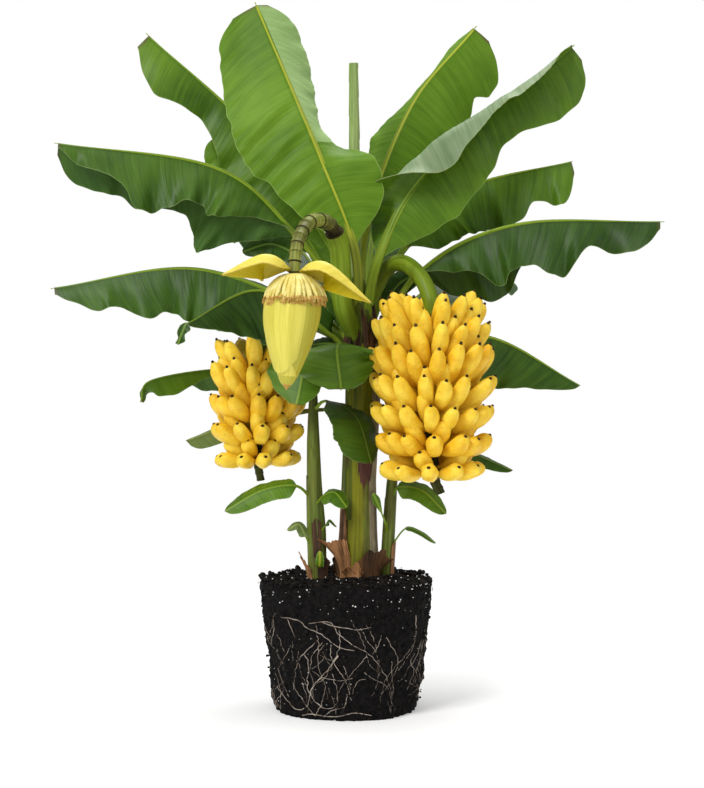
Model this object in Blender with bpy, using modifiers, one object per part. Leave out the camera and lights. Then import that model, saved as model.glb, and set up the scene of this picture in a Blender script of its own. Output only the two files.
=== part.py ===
"""Hardy banana plant on its root ball, with two fruit bunches, a flower and two suckers.

Metres, +Z up. The origin is the centre of the root ball's flat underside, and the
front of the plant faces -Y. Every leaf, stem and hand of fruit is a closed solid.
"""
import math

import bmesh
import bpy
from mathutils import Matrix, Vector, noise

# ---- sizes -------------------------------------------------------------------
CLEAR = 0.0003            # gap that touching pieces keep
BALL_HEIGHT = 0.235       # the root ball is a pot-shaped block of peat
BALL_TOP = 0.157
BALL_BASE = 0.131
SOIL = BALL_HEIGHT + CLEAR
LEAF_STEPS = 11           # rings along a large leaf
SMALL_STEPS = 7
LEAF_THIN = 0.0102        # leaf thickness as a share of its length
SEGMENT = 0.45            # where a half blade bends, as a share of its width

FRUIT_SIDES = 5
FRUIT_PITCH = 0.042       # height from one hand of fruit to the next
COLLAR = 0.026            # height of the cushion that a hand grows from

# the stems: a list of (x, y, z, radius) up each one
MAIN_STEM = [(0.020, 0.0, SOIL, 0.038), (0.021, 0.0, 0.27, 0.0355), (0.022, 0.0, 0.32, 0.032),
             (0.023, 0.0, 0.41, 0.029), (0.028, 0.0, 0.52, 0.0295), (0.031, 0.0, 0.61, 0.031),
             (0.031, 0.0, 0.68, 0.029), (0.026, 0.0, 0.735, 0.021), (0.018, 0.0, 0.775, 0.0115)]
LEFT_SUCKER = [(-0.050, -0.03, SOIL, 0.0160), (-0.052, -0.03, 0.32, 0.0170),
               (-0.056, -0.03, 0.40, 0.0140), (-0.058, -0.03, 0.48, 0.0120),
               (-0.058, -0.03, 0.555, 0.0085)]
RIGHT_SUCKER = [(0.073, 0.010, SOIL, 0.0120), (0.078, 0.010, 0.32, 0.0115),
                (0.083, 0.012, 0.40, 0.0105), (0.090, 0.020, 0.47, 0.0075)]
SPEAR = [(0.0180, 0.0, 0.7700, 0.0100), (0.016, 0.0, 0.87, 0.0105), (0.015, 0.0, 1.02, 0.0100),
         (0.0135, 0.0, 1.158, 0.0085)]

# the stalk and the axis of each bunch; an axis starts inside its stalk and is cut clear
RIGHT_AXIS = (0.150, -0.100)
RIGHT_ARCH = [(0.030, 0.0, 0.670, 0.015), (0.049, 0.008, 0.745, 0.0145), (0.074, -0.008, 0.790, 0.0145),
              (0.102, -0.040, 0.797, 0.0145), (0.131, -0.078, 0.770, 0.0145),
              (0.147, -0.098, 0.732, 0.0145), (0.150, -0.100, 0.704, 0.0145)]
RIGHT_RACHIS = [(*RIGHT_AXIS, 0.711, 0.0110), (*RIGHT_AXIS, 0.690, 0.0134), (*RIGHT_AXIS, 0.56, 0.0120),
                (0.153, -0.100, 0.43, 0.0100), (0.165, -0.100, 0.392, 0.0085)]
LEFT_AXIS = (-0.162, 0.048)
LEFT_ARCH = [(0.030, 0.0, 0.590, 0.012), (-0.004, 0.034, 0.655, 0.012), (-0.045, 0.056, 0.686, 0.012),
             (-0.095, 0.061, 0.694, 0.012), (-0.138, 0.056, 0.680, 0.012),
             (-0.158, 0.050, 0.652, 0.012), (-0.162, 0.048, 0.632, 0.012)]
LEFT_RACHIS = [(*LEFT_AXIS, 0.6385, 0.0088), (*LEFT_AXIS, 0.618, 0.0108), (*LEFT_AXIS, 0.52, 0.0100),
               (-0.161, 0.048, 0.440, 0.0085), (-0.156, 0.048, 0.405, 0.0070)]

# hands of fruit, from the top: (fruit count, reach of the tips)
RIGHT_HANDS = [(11, 0.090), (13, 0.102), (14, 0.106), (14, 0.106), (13, 0.103), (13, 0.098), (10, 0.090)]
RIGHT_TOP_HAND = 0.667
LEFT_HANDS = [(10, 0.080), (11, 0.085), (11, 0.084), (10, 0.080), (9, 0.074)]
LEFT_TOP_HAND = 0.603
FRUIT_RISE = 0.60         # how far a fruit's tip rises, as a share of its reach

# the flower hangs from an arching stalk: rise, drop, florets, bud and two open bracts
STALK_RISE = [(0.028, 0.0, 0.650, 0.018), (-0.004, -0.036, 0.718, 0.018), (-0.008, -0.060, 0.778, 0.0180),
              (-0.012, -0.076, 0.826, 0.0180), (-0.020, -0.094, 0.848, 0.017)]
STALK_DROP = [(-0.0165, -0.0860, 0.8400, 0.0120), (-0.025, -0.105, 0.856, 0.0125),
              (-0.040, -0.130, 0.864, 0.0115), (-0.062, -0.168, 0.857, 0.0110),
              (-0.078, -0.203, 0.828, 0.0105), (-0.084, -0.223, 0.790, 0.0095),
              (-0.0845, -0.225, 0.7515, 0.0080)]
BUD_TOP = Vector((-0.0845, -0.225, 0.7512))
BUD_TILT = math.radians(4.6)
BUD_PROFILE = [(0.0, 0.0), (0.020, -0.003), (0.036, -0.012), (0.047, -0.027), (0.050, -0.046),
               (0.047, -0.073), (0.038, -0.106), (0.025, -0.139), (0.012, -0.162), (0.0, -0.173)]
FLORETS = (0.775, 0.728, 0.012, 0.060)     # top, foot and the radii of the skirt of florets


# ---- helpers -----------------------------------------------------------------
def clean_scene():
    for item in list(bpy.data.objects):
        bpy.data.objects.remove(item, do_unlink=True)


def collection(name):
    made = bpy.data.collections.new(name)
    bpy.context.scene.collection.children.link(made)
    return made


def material(name, colour, roughness=0.6):
    made = bpy.data.materials.new(name)
    made.use_nodes = True
    shader = made.node_tree.nodes["Principled BSDF"]
    shader.inputs["Base Color"].default_value = (*colour, 1.0)
    shader.inputs["Roughness"].default_value = roughness
    made.diffuse_color = (*colour, 1.0)
    return made


def place(item, home, look):
    """Put an object in its collection with its material."""
    for user in list(item.users_collection):
        user.objects.unlink(item)
    home.objects.link(item)
    item.data.materials.clear()
    item.data.materials.append(look)
    return item


def mesh_object(name, verts, faces, home, look, split=True):
    data = bpy.data.meshes.new(name)
    data.from_pydata([tuple(v) for v in verts], [], faces)
    shape = bmesh.new()
    shape.from_mesh(data)
    bmesh.ops.recalc_face_normals(shape, faces=shape.faces)
    if split:
        bmesh.ops.triangulate(shape, faces=shape.faces)
    shape.to_mesh(data)
    shape.free()
    item = bpy.data.objects.new(name, data)
    home.objects.link(item)
    data.materials.append(look)
    return item


def smooth_path(points, count):
    """Points evenly spaced along a Catmull-Rom curve through the given ones."""
    p = [Vector(q) for q in points]
    p = [2 * p[0] - p[1]] + p + [2 * p[-1] - p[-2]]
    dense = []
    for a, b, c, d in zip(p, p[1:], p[2:], p[3:]):
        for k in range(24):
            t = k / 24
            dense.append(0.5 * ((2 * b) + (c - a) * t + (2 * a - 5 * b + 4 * c - d) * t * t
                                + (3 * b - a - 3 * c + d) * t ** 3))
    dense.append(p[-2])
    along = [0.0]
    for a, b in zip(dense, dense[1:]):
        along.append(along[-1] + (b - a).length)
    path, k = [], 0
    for step in range(count):
        goal = along[-1] * step / (count - 1)
        while k < len(along) - 2 and along[k + 1] < goal:
            k += 1
        share = (goal - along[k]) / max(along[k + 1] - along[k], 1e-9)
        path.append(dense[k].lerp(dense[k + 1], min(max(share, 0.0), 1.0)))
    return path, along[-1]


def stem(name, points, home, look, steps=None, sides=3, grow=0.0, foot=None):
    """A tapering stem: a poly curve with a round bevel, turned into a mesh.

    sides is the curve's bevel resolution, and foot is the level of a flat lower end.
    """
    steps = steps or 2 * len(points) - 1
    path, _ = smooth_path([q[:3] for q in points], steps)
    data = bpy.data.curves.new(name, "CURVE")
    data.dimensions = "3D"
    data.bevel_depth = 1.0
    data.bevel_resolution = sides
    data.use_fill_caps = True
    line = data.splines.new("POLY")
    line.points.add(steps - 1)
    spans = [0.0]
    for a, b in zip(points, points[1:]):
        spans.append(spans[-1] + (Vector(b[:3]) - Vector(a[:3])).length)
    for k, (point, place_at) in enumerate(zip(line.points, path)):
        goal = spans[-1] * k / (steps - 1)
        i = max(j for j in range(len(spans) - 1) if spans[j] <= goal + 1e-9)
        share = min((goal - spans[i]) / (spans[i + 1] - spans[i]), 1.0)
        point.co = (*place_at, 1.0)
        point.radius = points[i][3] + (points[i + 1][3] - points[i][3]) * share + grow
    item = bpy.data.objects.new(name, data)
    home.objects.link(item)
    bpy.ops.object.select_all(action="DESELECT")
    bpy.context.view_layer.objects.active = item
    item.select_set(True)
    bpy.ops.object.convert(target="MESH")
    shape = bmesh.new()
    shape.from_mesh(item.data)
    bmesh.ops.remove_doubles(shape, verts=shape.verts, dist=0.00001)
    for v in shape.verts:
        if foot is not None and v.co.z < foot + 0.008:
            v.co.z = foot
    shape.to_mesh(item.data)
    shape.free()
    item.data.materials.clear()
    item.data.materials.append(look)
    return item


def stem_cutter(name, points, home, look, **options):
    """The room a stem needs: the same stem, larger by the clearance, kept as a cutter."""
    item = stem(name, points, home, look, grow=CLEAR, **options)
    item.hide_render = True
    item.display_type = "WIRE"
    return item


def cut(item, cutter, solver="EXACT"):
    change = item.modifiers.new("clear of " + cutter.name, "BOOLEAN")
    change.operation = "DIFFERENCE"
    change.solver = solver
    change.object = cutter


def spread(values, u):
    """Reads a smooth run of values that lie evenly from u = 0 to u = 1."""
    if not isinstance(values, tuple):
        return values
    at = min(max(u, 0.0), 1.0) * (len(values) - 1)
    i = min(int(at), len(values) - 2)
    t = at - i
    before, after = values[max(i - 1, 0)], values[min(i + 2, len(values) - 1)]
    here, there = values[i], values[i + 1]
    return 0.5 * (2 * here + (there - before) * t + (2 * before - 5 * here + 4 * there - after) * t * t
                  + (3 * here - before - 3 * there + after) * t ** 3)


def rounding(b, ramp, tip):
    """The share of its full width that the blade has as it opens and as its end rounds off."""
    width = math.sin(0.5 * math.pi * min(b / ramp, 1.0)) ** 0.8
    if b > tip < 1.0:
        width *= math.sqrt(1.0 - (0.992 * (b - tip) / (1.0 - tip)) ** 2)
    return width


def blade(name, points, facing, left, right, home, look, fold_left=0.0, fold_right=0.0,
          curl_left=10.0, curl_right=10.0, stalk=0.009, steps=LEAF_STEPS, ramp=0.12, tip=0.80, thick=None):
    """One leaf: a round stalk to the second point, then a blade with two halves.

    Each half bends at SEGMENT of its width: left and right are the widths, the folds
    are the angles in degrees by which the halves drop from flat, and the curls what
    their outer parts drop by beyond that. Each is one number or an even run of them
    from the blade's foot to its tip. facing is the way the upper side looks.
    """
    path, length = smooth_path(points, steps + 1)
    thick = thick or LEAF_THIN * length
    stalk_share = (Vector(points[1]) - Vector(points[0])).length / length
    up = Vector(facing).normalized()
    rings = []
    for k, centre in enumerate(path):
        u = k / steps
        ahead = (path[min(k + 1, steps)] - path[max(k - 1, 0)]).normalized()
        normal = (up - up.dot(ahead) * ahead).normalized()
        side = ahead.cross(normal)
        b = max((u - stalk_share) / (1.0 - stalk_share), 0.0)
        width = rounding(b, ramp, tip)
        keel = stalk * (1.0 - b) + thick * 0.5 * b
        ring = []
        if b <= 0.0:
            for angle in (162, 126, 90, 54, 18, -18, -54, -90, -126, -162):
                a = math.radians(angle)
                ring.append(centre + stalk * (math.cos(a) * side + math.sin(a) * normal))
        else:
            upper, lower = [], []
            for v in (-1.0, -SEGMENT, 0.0, SEGMENT, 1.0):
                hand = -1.0 if v < 0 else 1.0
                half = max(spread(left if v < 0 else right, b), 0.0) * width + 0.6 * stalk
                fold = math.radians(spread(fold_left if v < 0 else fold_right, b)) * min(b / ramp, 1.0)
                turn = fold + math.radians(spread(curl_left if v < 0 else curl_right, b))
                lean = 0.0 if v == 0 else turn if abs(v) == 1.0 else 0.5 * (fold + turn)
                spot = centre + half * min(abs(v), SEGMENT) * (
                    hand * math.cos(fold) * side - math.sin(fold) * normal)
                if abs(v) == 1.0:
                    spot += half * (1.0 - SEGMENT) * (
                        hand * math.cos(turn) * side - math.sin(turn) * normal)
                skin = hand * math.sin(lean) * side + math.cos(lean) * normal
                upper.append(spot + skin * (0.5 * thick if v else min(0.5 * thick, stalk)))
                lower.append(spot - skin * (0.5 * thick if v else max(keel * 1.3, 0.5 * thick)))
            ring = upper + lower[::-1]
        rings.append(ring)
    verts = [v for ring in rings for v in ring]
    n = len(rings[0])
    faces = [[k * n + i, k * n + (i + 1) % n, (k + 1) * n + (i + 1) % n, (k + 1) * n + i]
             for k in range(steps) for i in range(n)]
    # each end is closed by a strip of quads between its upper and lower rows
    for base in (0, steps * n):
        strip = [[base + i, base + i + 1, base + n - 2 - i, base + n - 1 - i] for i in range(n // 2 - 1)]
        faces += strip if base else [f[::-1] for f in strip]
    return mesh_object(name, verts, faces, home, look)


def fruit_rings(angle, reach, rise, root=0.014):
    """The rings of one banana: it leaves the stem level and turns upwards."""
    out = Vector((math.cos(angle), math.sin(angle), 0.0))
    a, b, c = out * root, out * reach * 0.80 + Vector((0, 0, -0.004)), out * reach + Vector((0, 0, rise))
    rings = []
    for t, radius in ((0.0, 0.0030), (0.50, 0.0117), (0.80, 0.0140), (1.0, 0.0050)):
        spot = a.lerp(b, t).lerp(b.lerp(c, t), t)
        ahead = (b.lerp(c, t) - a.lerp(b, t)).normalized()
        side = Vector((0, 0, 1)).cross(out).normalized()
        over = ahead.cross(side)
        rings.append([spot + radius * (math.cos(w) * side + math.sin(w) * over)
                      for w in (2 * math.pi * i / FRUIT_SIDES + 0.3 for i in range(FRUIT_SIDES))])
    return rings


def hand(name, axis, height, count, reach, turn, rachis_cutter, home, look):
    """A hand of fruit: its cushion and its bananas joined by one Boolean union."""
    group = bpy.data.collections.new(name + " fruit")
    bpy.context.scene.collection.children.link(group)
    bpy.ops.mesh.primitive_cylinder_add(vertices=count, radius=0.021, depth=COLLAR)
    cushion = place(bpy.context.active_object, home, look)
    cushion.name = cushion.data.name = name
    corner = cushion.data.vertices[0].co        # a flat of the cushion faces each fruit
    spin = 2 * math.pi * (turn + 0.5) / count - math.atan2(corner.y, corner.x)
    cushion.data.transform(Matrix.Translation((axis[0], axis[1], height)) @ Matrix.Rotation(spin, 4, "Z"))
    rise = FRUIT_RISE * reach
    for k in range(count):
        rings = fruit_rings(2 * math.pi * (k + turn) / count, reach, rise)
        verts = [v + Vector((axis[0], axis[1], height)) for ring in rings for v in ring]
        n = FRUIT_SIDES
        faces = [[r * n + i, r * n + (i + 1) % n, (r + 1) * n + (i + 1) % n, (r + 1) * n + i]
                 for r in range(len(rings) - 1) for i in range(n)]
        faces += [list(range(n))[::-1], [(len(rings) - 1) * n + i for i in range(n)]]
        mesh_object("fruit %d" % k, verts, faces, group, look, split=False)
    join = cushion.modifiers.new("join the fruit", "BOOLEAN")
    join.operation = "UNION"
    join.solver = "EXACT"
    join.operand_type = "COLLECTION"
    join.collection = group
    cut(cushion, rachis_cutter)
    bpy.ops.object.select_all(action="DESELECT")
    bpy.context.view_layer.objects.active = cushion
    cushion.select_set(True)
    bpy.ops.object.convert(target="MESH")
    for item in list(group.objects):
        bpy.data.objects.remove(item, do_unlink=True)
    bpy.data.collections.remove(group)
    return cushion


# ---- the scene ---------------------------------------------------------------
clean_scene()
plant = collection("hardy_banana_plant")
cutters = collection("cutters")

peat = material("peat", (0.022, 0.017, 0.013), 0.95)
sheath = material("sheath", (0.30, 0.34, 0.10), 0.6)
leaf_green = material("leaf", (0.055, 0.20, 0.025), 0.45)
young_green = material("young_leaf", (0.22, 0.42, 0.07), 0.45)
stalk_green = material("stalk", (0.22, 0.33, 0.06), 0.5)
banana_yellow = material("fruit", (0.90, 0.58, 0.05), 0.45)
bract_yellow = material("bract", (0.80, 0.68, 0.13), 0.45)
floret_cream = material("florets", (0.85, 0.62, 0.25), 0.6)
dry_sheath = material("dry_sheath", (0.34, 0.22, 0.12), 0.85)

# ---- root ball ---------------------------------------------------------------
bpy.ops.mesh.primitive_cone_add(vertices=28, radius1=BALL_BASE, radius2=BALL_TOP,
                                depth=BALL_HEIGHT, location=(0, 0, BALL_HEIGHT / 2))
ball = place(bpy.context.active_object, plant, peat)
ball.name = ball.data.name = "root_ball"
ball.data.transform(Matrix.Translation((0, 0, BALL_HEIGHT / 2)))
ball.location = (0, 0, 0)
shape = bmesh.new()
shape.from_mesh(ball.data)
for level in (0.016, 0.085, 0.155, 0.205, 0.228):
    bmesh.ops.bisect_plane(shape, geom=shape.verts[:] + shape.edges[:] + shape.faces[:],
                           plane_co=(0, 0, level), plane_no=(0, 0, 1))
for v in shape.verts:
    flat = Vector((v.co.x, v.co.y, 0.0))
    if flat.length < 1e-6:
        continue
    bump = 0.0035 * noise.noise(v.co * 28.0) + 0.0025 * noise.noise(v.co * 70.0)
    shoulder = -0.006 * max(0.0, (v.co.z - 0.220) / 0.015) - 0.007 * max(0.0, (0.018 - v.co.z) / 0.018)
    if 0.20 < v.co.z < 0.22:
        shoulder += 0.002
    v.co += flat.normalized() * (bump + shoulder)
bmesh.ops.triangulate(shape, faces=shape.faces)
shape.to_mesh(ball.data)
shape.free()

# ---- stems -------------------------------------------------------------------
main_room = stem_cutter("main_stem_room", MAIN_STEM, cutters, sheath, sides=5)
left_room = stem_cutter("left_sucker_room", LEFT_SUCKER, cutters, sheath, sides=4)
right_room = stem_cutter("right_sucker_room", RIGHT_SUCKER, cutters, sheath, sides=4)
stem("main_stem", MAIN_STEM, plant, sheath, sides=5, foot=SOIL)
stem("left_sucker", LEFT_SUCKER, plant, sheath, sides=4, foot=SOIL)
stem("right_sucker", RIGHT_SUCKER, plant, sheath, sides=4, foot=SOIL)
cut(stem("rolled_leaf", SPEAR, plant, young_green, sides=3), main_room)

# ---- leaves: seat, start of the blade, middle and tip of the midrib -----------
LEAVES = [
    ("leaf_top", main_room, young_green, dict(
        points=[(0.022, -0.003, 0.690), (0.015, -0.050, 0.822), (-0.046, -0.060, 0.983), (-0.161, 0.000, 1.262)],
        facing=(0.0, -1.0, 0.15), left=(0, 0.070, 0.108, 0.116, 0.110, 0.106, 0.020),
        right=(0, 0.08, 0.108, 0.055, 0.090, 0.100, 0.030), fold_left=(5, 5, 5, 5, 5, 10, 15),
        fold_right=(-10, -10, -5, 60, 76, 62, 45), curl_right=5, stalk=0.0095, steps=12, tip=1.0)),
    ("leaf_top_left", main_room, leaf_green, dict(
        points=[(0.010, 0.004, 0.682), (-0.006, 0.037, 0.790), (-0.150, 0.095, 1.010), (-0.366, 0.10, 1.228)],
        facing=(0.10, -0.75, 0.65), left=(0, 0.060, 0.080, 0.072, 0.050, 0.072, 0.030), right=0.060,
        fold_left=(15, 15, 15, 20, 25, 20, 20), fold_right=75, stalk=0.0085, tip=1.0)),
    ("leaf_left_upper", main_room, leaf_green, dict(
        points=[(0.030, 0.0, 0.675), (-0.075, -0.008, 0.835), (-0.225, -0.02, 0.968), (-0.508, -0.05, 1.008)],
        facing=(0.0, 0.0, 1.0), left=(0, 0.016, 0.050, 0.052, 0.064, 0.086, 0.072, 0.050, 0.036, 0.010),
        right=(0, 0.045, 0.084, 0.115, 0.104, 0.090, 0.096, 0.072, 0.068, 0.016),
        fold_left=(40, 55, 60, 65, 65, 60, 60), fold_right=(60, 70, 75, 70, 65, 60, 60),
        stalk=0.0080, steps=14, tip=1.0)),
    ("leaf_left_middle", main_room, leaf_green, dict(
        points=[(0.031, 0.0, 0.604), (-0.032, 0.018, 0.698), (-0.266, 0.03, 0.793), (-0.530, 0.03, 0.757)],
        facing=(0.0, -0.20, 0.98), left=(0, 0.06, 0.088, 0.090, 0.080, 0.064, 0.040), right=0.080,
        fold_left=(40, 50, 58, 60, 60, 55, 50), fold_right=(5, 5, 10, 15, 20, 25, 30), stalk=0.0080)),
    ("leaf_left_lower", main_room, leaf_green, dict(
        points=[(0.031, 0.0, 0.590), (-0.022, -0.018, 0.668), (-0.150, -0.085, 0.748), (-0.268, -0.19, 0.686)],
        facing=(0.0, -0.2, 0.98), left=(0, 0.020, 0.055, 0.100, 0.085, 0.045, 0.02), right=0.035,
        fold_left=60, fold_right=(15, 15, 15, 15, 20, 25, 30), stalk=0.0075)),
    ("leaf_top_right", main_room, leaf_green, dict(
        points=[(0.027, 0.011, 0.687), (0.038, 0.063, 0.870), (0.118, 0.075, 1.090), (0.238, 0.105, 1.242)],
        facing=(-0.05, -1.0, 0.2), left=(0, 0.09, 0.095, 0.095, 0.095, 0.080, 0.03),
        right=(0, 0.07, 0.105, 0.112, 0.115, 0.095, 0.035),
        fold_left=(20, 45, 62, 80, 85, 80, 72), fold_right=(10, 10, 10, 15, 15, 10, 10), stalk=0.0090,
        tip=1.0)),
    ("leaf_right_high", main_room, leaf_green, dict(
        points=[(0.035, -0.002, 0.650), (0.056, -0.036, 0.800), (0.145, -0.032, 0.962), (0.405, 0.0, 1.187)],
        facing=(-0.15, -0.95, 0.3), left=(0, 0.080, 0.100, 0.100, 0.085, 0.070, 0.015),
        right=(0, 0.075, 0.098, 0.092, 0.082, 0.095, 0.040),
        fold_left=(20, 38, 15, -40, -98, -105, -100), curl_left=(10, 0, -110, -100, -30, -15, 0),
        fold_right=(20, 15, 10, 10, 15, 15, 20), stalk=0.0105, steps=14, tip=1.0)),
    ("leaf_right_mid", main_room, leaf_green, dict(
        points=[(0.030, 0.009, 0.655), (0.105, 0.070, 0.830), (0.218, 0.075, 0.943), (0.413, 0.06, 0.990)],
        facing=(0.0, -0.25, 1.0), left=0.070,
        right=(0, 0.055, 0.072, 0.085, 0.090, 0.095, 0.088, 0.080, 0.066, 0.045),
        fold_left=60, fold_right=(45, 50, 55, 60, 60, 55, 50), stalk=0.0080, tip=1.0)),
    ("leaf_right_long", main_room, leaf_green, dict(
        points=[(0.031, 0.0, 0.605), (0.130, 0.022, 0.785), (0.302, -0.005, 0.870), (0.556, -0.05, 0.870)],
        facing=(0.0, -0.1, 1.0), left=(0, 0.09, 0.115, 0.12, 0.09, 0.07, 0.06, 0.055, 0.05, 0.04),
        right=(0, 0.037, 0.066, 0.100, 0.066, 0.088, 0.080, 0.058, 0.058, 0.018),
        fold_left=(65, 70, 70, 60, 50, 50, 50), fold_right=(50, 55, 60, 60, 60, 60, 55),
        stalk=0.0080, steps=14, tip=1.0)),
    ("leaf_right_low", main_room, leaf_green, dict(
        points=[(0.031, 0.0, 0.580), (0.080, 0.045, 0.652), (0.262, 0.100, 0.672), (0.433, 0.09, 0.580)],
        facing=(0.0, -0.25, 1.0), left=0.070, right=(0, 0.075, 0.09, 0.09, 0.085, 0.05, 0.03),
        fold_left=(20, 25, 30, 30, 30), fold_right=(50, 55, 60, 60, 55), stalk=0.0075)),
    ("leaf_back_left", main_room, leaf_green, dict(
        points=[(0.024, 0.002, 0.648), (-0.020, 0.078, 0.740), (-0.140, 0.240, 0.900), (-0.245, 0.440, 0.920)],
        facing=(0.0, 0.25, 0.95), left=0.090, right=0.085, fold_left=(30, 35, 35), fold_right=(30, 35, 35),
        stalk=0.0080, ramp=0.4, tip=0.5)),
    ("leaf_back", main_room, leaf_green, dict(
        points=[(0.024, 0.004, 0.630), (0.038, 0.098, 0.780), (0.075, 0.265, 1.000), (0.115, 0.420, 1.130)],
        facing=(0.1, 0.1, 1.0), left=0.095, right=0.095, fold_left=(20, 25, 30), fold_right=(20, 25, 30),
        stalk=0.0085, ramp=0.4, tip=0.5)),
    ("leaf_back_right", main_room, leaf_green, dict(
        points=[(0.031, 0.002, 0.620), (0.075, 0.062, 0.690), (0.200, 0.260, 0.790), (0.340, 0.430, 0.790)],
        facing=(0.0, 0.2, 1.0), left=0.085, right=0.080, fold_left=(30, 35, 35), fold_right=(30, 35, 35),
        stalk=0.0080, ramp=0.4, tip=0.5)),
    ("leaf_front_centre", main_room, leaf_green, dict(
        points=[(0.031, 0.0, 0.565), (0.018, -0.046, 0.638), (-0.014, -0.112, 0.650), (-0.008, -0.142, 0.574)],
        facing=(-0.1, -1.0, 0.35), left=0.056, right=0.045, fold_left=(15, 10, 5), fold_right=(15, 10, 5),
        stalk=0.0060, steps=10, tip=0.5)),
    ("leaf_behind_flower", main_room, leaf_green, dict(
        points=[(0.030, 0.0, 0.535), (-0.014, -0.036, 0.600), (-0.062, -0.076, 0.636), (-0.086, -0.106, 0.548)],
        facing=(-0.3, -1.0, 0.45), left=0.045, right=0.040, fold_left=(15, 20, 20), fold_right=(15, 20, 20),
        stalk=0.0055, steps=10, tip=0.5)),
    ("leaf_left_low", main_room, leaf_green, dict(
        points=[(0.029, 0.002, 0.540), (-0.020, 0.096, 0.588), (-0.210, 0.234, 0.612), (-0.394, 0.19, 0.547)],
        facing=(0.0, -0.25, 1.0), left=0.050, right=0.050, fold_left=(25, 35, 30), fold_right=(30, 30, 30),
        stalk=0.0065, tip=0.5)),
    ("leaf_left_pale", main_room, young_green, dict(
        points=[(0.027, 0.002, 0.480), (-0.010, 0.070, 0.535), (-0.170, 0.185, 0.520), (-0.305, 0.18, 0.474)],
        facing=(0.0, -0.25, 1.0), left=0.026, right=0.026, fold_left=(25, 35, 30), fold_right=(30, 30, 30),
        stalk=0.0045, steps=10, tip=0.5)),
    ("leaf_front_low", left_room, leaf_green, dict(
        points=[(-0.058, -0.030, 0.535), (-0.034, -0.052, 0.553), (0.018, -0.085, 0.524), (0.044, -0.095, 0.446)],
        facing=(0.0, -1.0, 0.5), left=0.032, right=0.050, fold_left=5, fold_right=5,
        stalk=0.0045, steps=SMALL_STEPS, tip=0.5)),
    ("sucker_leaf_left_1", left_room, leaf_green, dict(
        points=[(-0.055, -0.030, 0.370), (-0.088, -0.048, 0.402), (-0.148, -0.055, 0.395), (-0.213, -0.06, 0.359)],
        facing=(0.0, -0.7, 0.7), left=0.024, right=0.024, fold_left=15, fold_right=20,
        stalk=0.0032, steps=SMALL_STEPS, tip=0.4, thick=0.0025)),
    ("sucker_leaf_left_2", left_room, leaf_green, dict(
        points=[(-0.051, -0.030, 0.262), (-0.071, -0.044, 0.312), (-0.084, -0.05, 0.334), (-0.104, -0.052, 0.324)],
        facing=(0.0, -0.7, 0.7), left=0.010, right=0.010, fold_left=15, fold_right=20,
        stalk=0.0022, steps=SMALL_STEPS, tip=0.4, thick=0.0020)),
    ("sucker_leaf_left_3", left_room, leaf_green, dict(
        points=[(-0.056, -0.030, 0.362), (-0.043, -0.058, 0.383), (-0.020, -0.068, 0.394), (0.002, -0.072, 0.368)],
        facing=(0.0, -0.8, 0.6), left=0.019, right=0.021, fold_left=15, fold_right=10,
        stalk=0.0028, steps=SMALL_STEPS, tip=0.4, thick=0.0020)),
    ("sucker_leaf_left_4", left_room, leaf_green, dict(
        points=[(-0.053, -0.030, 0.312), (-0.038, -0.052, 0.330), (-0.029, -0.056, 0.343), (-0.016, -0.058, 0.330)],
        facing=(0.0, -0.8, 0.6), left=0.008, right=0.008, fold_left=15, fold_right=10,
        stalk=0.0020, steps=SMALL_STEPS, tip=0.4, thick=0.0018)),
    ("sucker_leaf_left_5", left_room, young_green, dict(
        points=[(-0.050, -0.030, 0.250), (-0.0475, -0.050, 0.258), (-0.046, -0.057, 0.270), (-0.046, -0.060, 0.288)],
        facing=(0.0, -1.0, 0.2), left=0.007, right=0.007, fold_left=10, fold_right=10,
        stalk=0.0020, steps=SMALL_STEPS, tip=0.4, thick=0.0018)),
    ("sucker_leaf_right_1", right_room, leaf_green, dict(
        points=[(0.082, 0.012, 0.365), (0.092, -0.006, 0.396), (0.136, -0.020, 0.392), (0.178, -0.030, 0.352)],
        facing=(0.0, -0.7, 0.7), left=0.022, right=0.022, fold_left=15, fold_right=20,
        stalk=0.0030, steps=SMALL_STEPS, tip=0.4, thick=0.0025)),
    ("sucker_leaf_right_2", right_room, leaf_green, dict(
        points=[(0.078, 0.010, 0.300), (0.070, -0.014, 0.335), (0.057, -0.026, 0.368), (0.048, -0.034, 0.388)],
        facing=(0.0, -1.0, 0.2), left=0.010, right=0.010, fold_left=15, fold_right=10,
        stalk=0.0022, steps=SMALL_STEPS, tip=0.4, thick=0.0020)),
    ("sucker_leaf_right_3", right_room, leaf_green, dict(
        points=[(0.077, 0.010, 0.282), (0.106, -0.004, 0.322), (0.132, -0.010, 0.318), (0.161, -0.015, 0.297)],
        facing=(0.0, -0.5, 0.9), left=0.007, right=0.007, fold_left=20, fold_right=20,
        stalk=0.0020, steps=SMALL_STEPS, tip=0.4, thick=0.0020)),
    ("sucker_leaf_right_4", right_room, leaf_green, dict(
        points=[(0.086, 0.015, 0.430), (0.120, 0.048, 0.468), (0.215, 0.068, 0.460), (0.305, 0.060, 0.424)],
        facing=(0.0, -0.5, 0.9), left=0.022, right=0.024, fold_left=20, fold_right=30,
        stalk=0.0035, steps=10, tip=0.4, thick=0.0028)),
]
for name, room, look, sizes in LEAVES:
    cut(blade(name, home=plant, look=look, **sizes), room)

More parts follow.
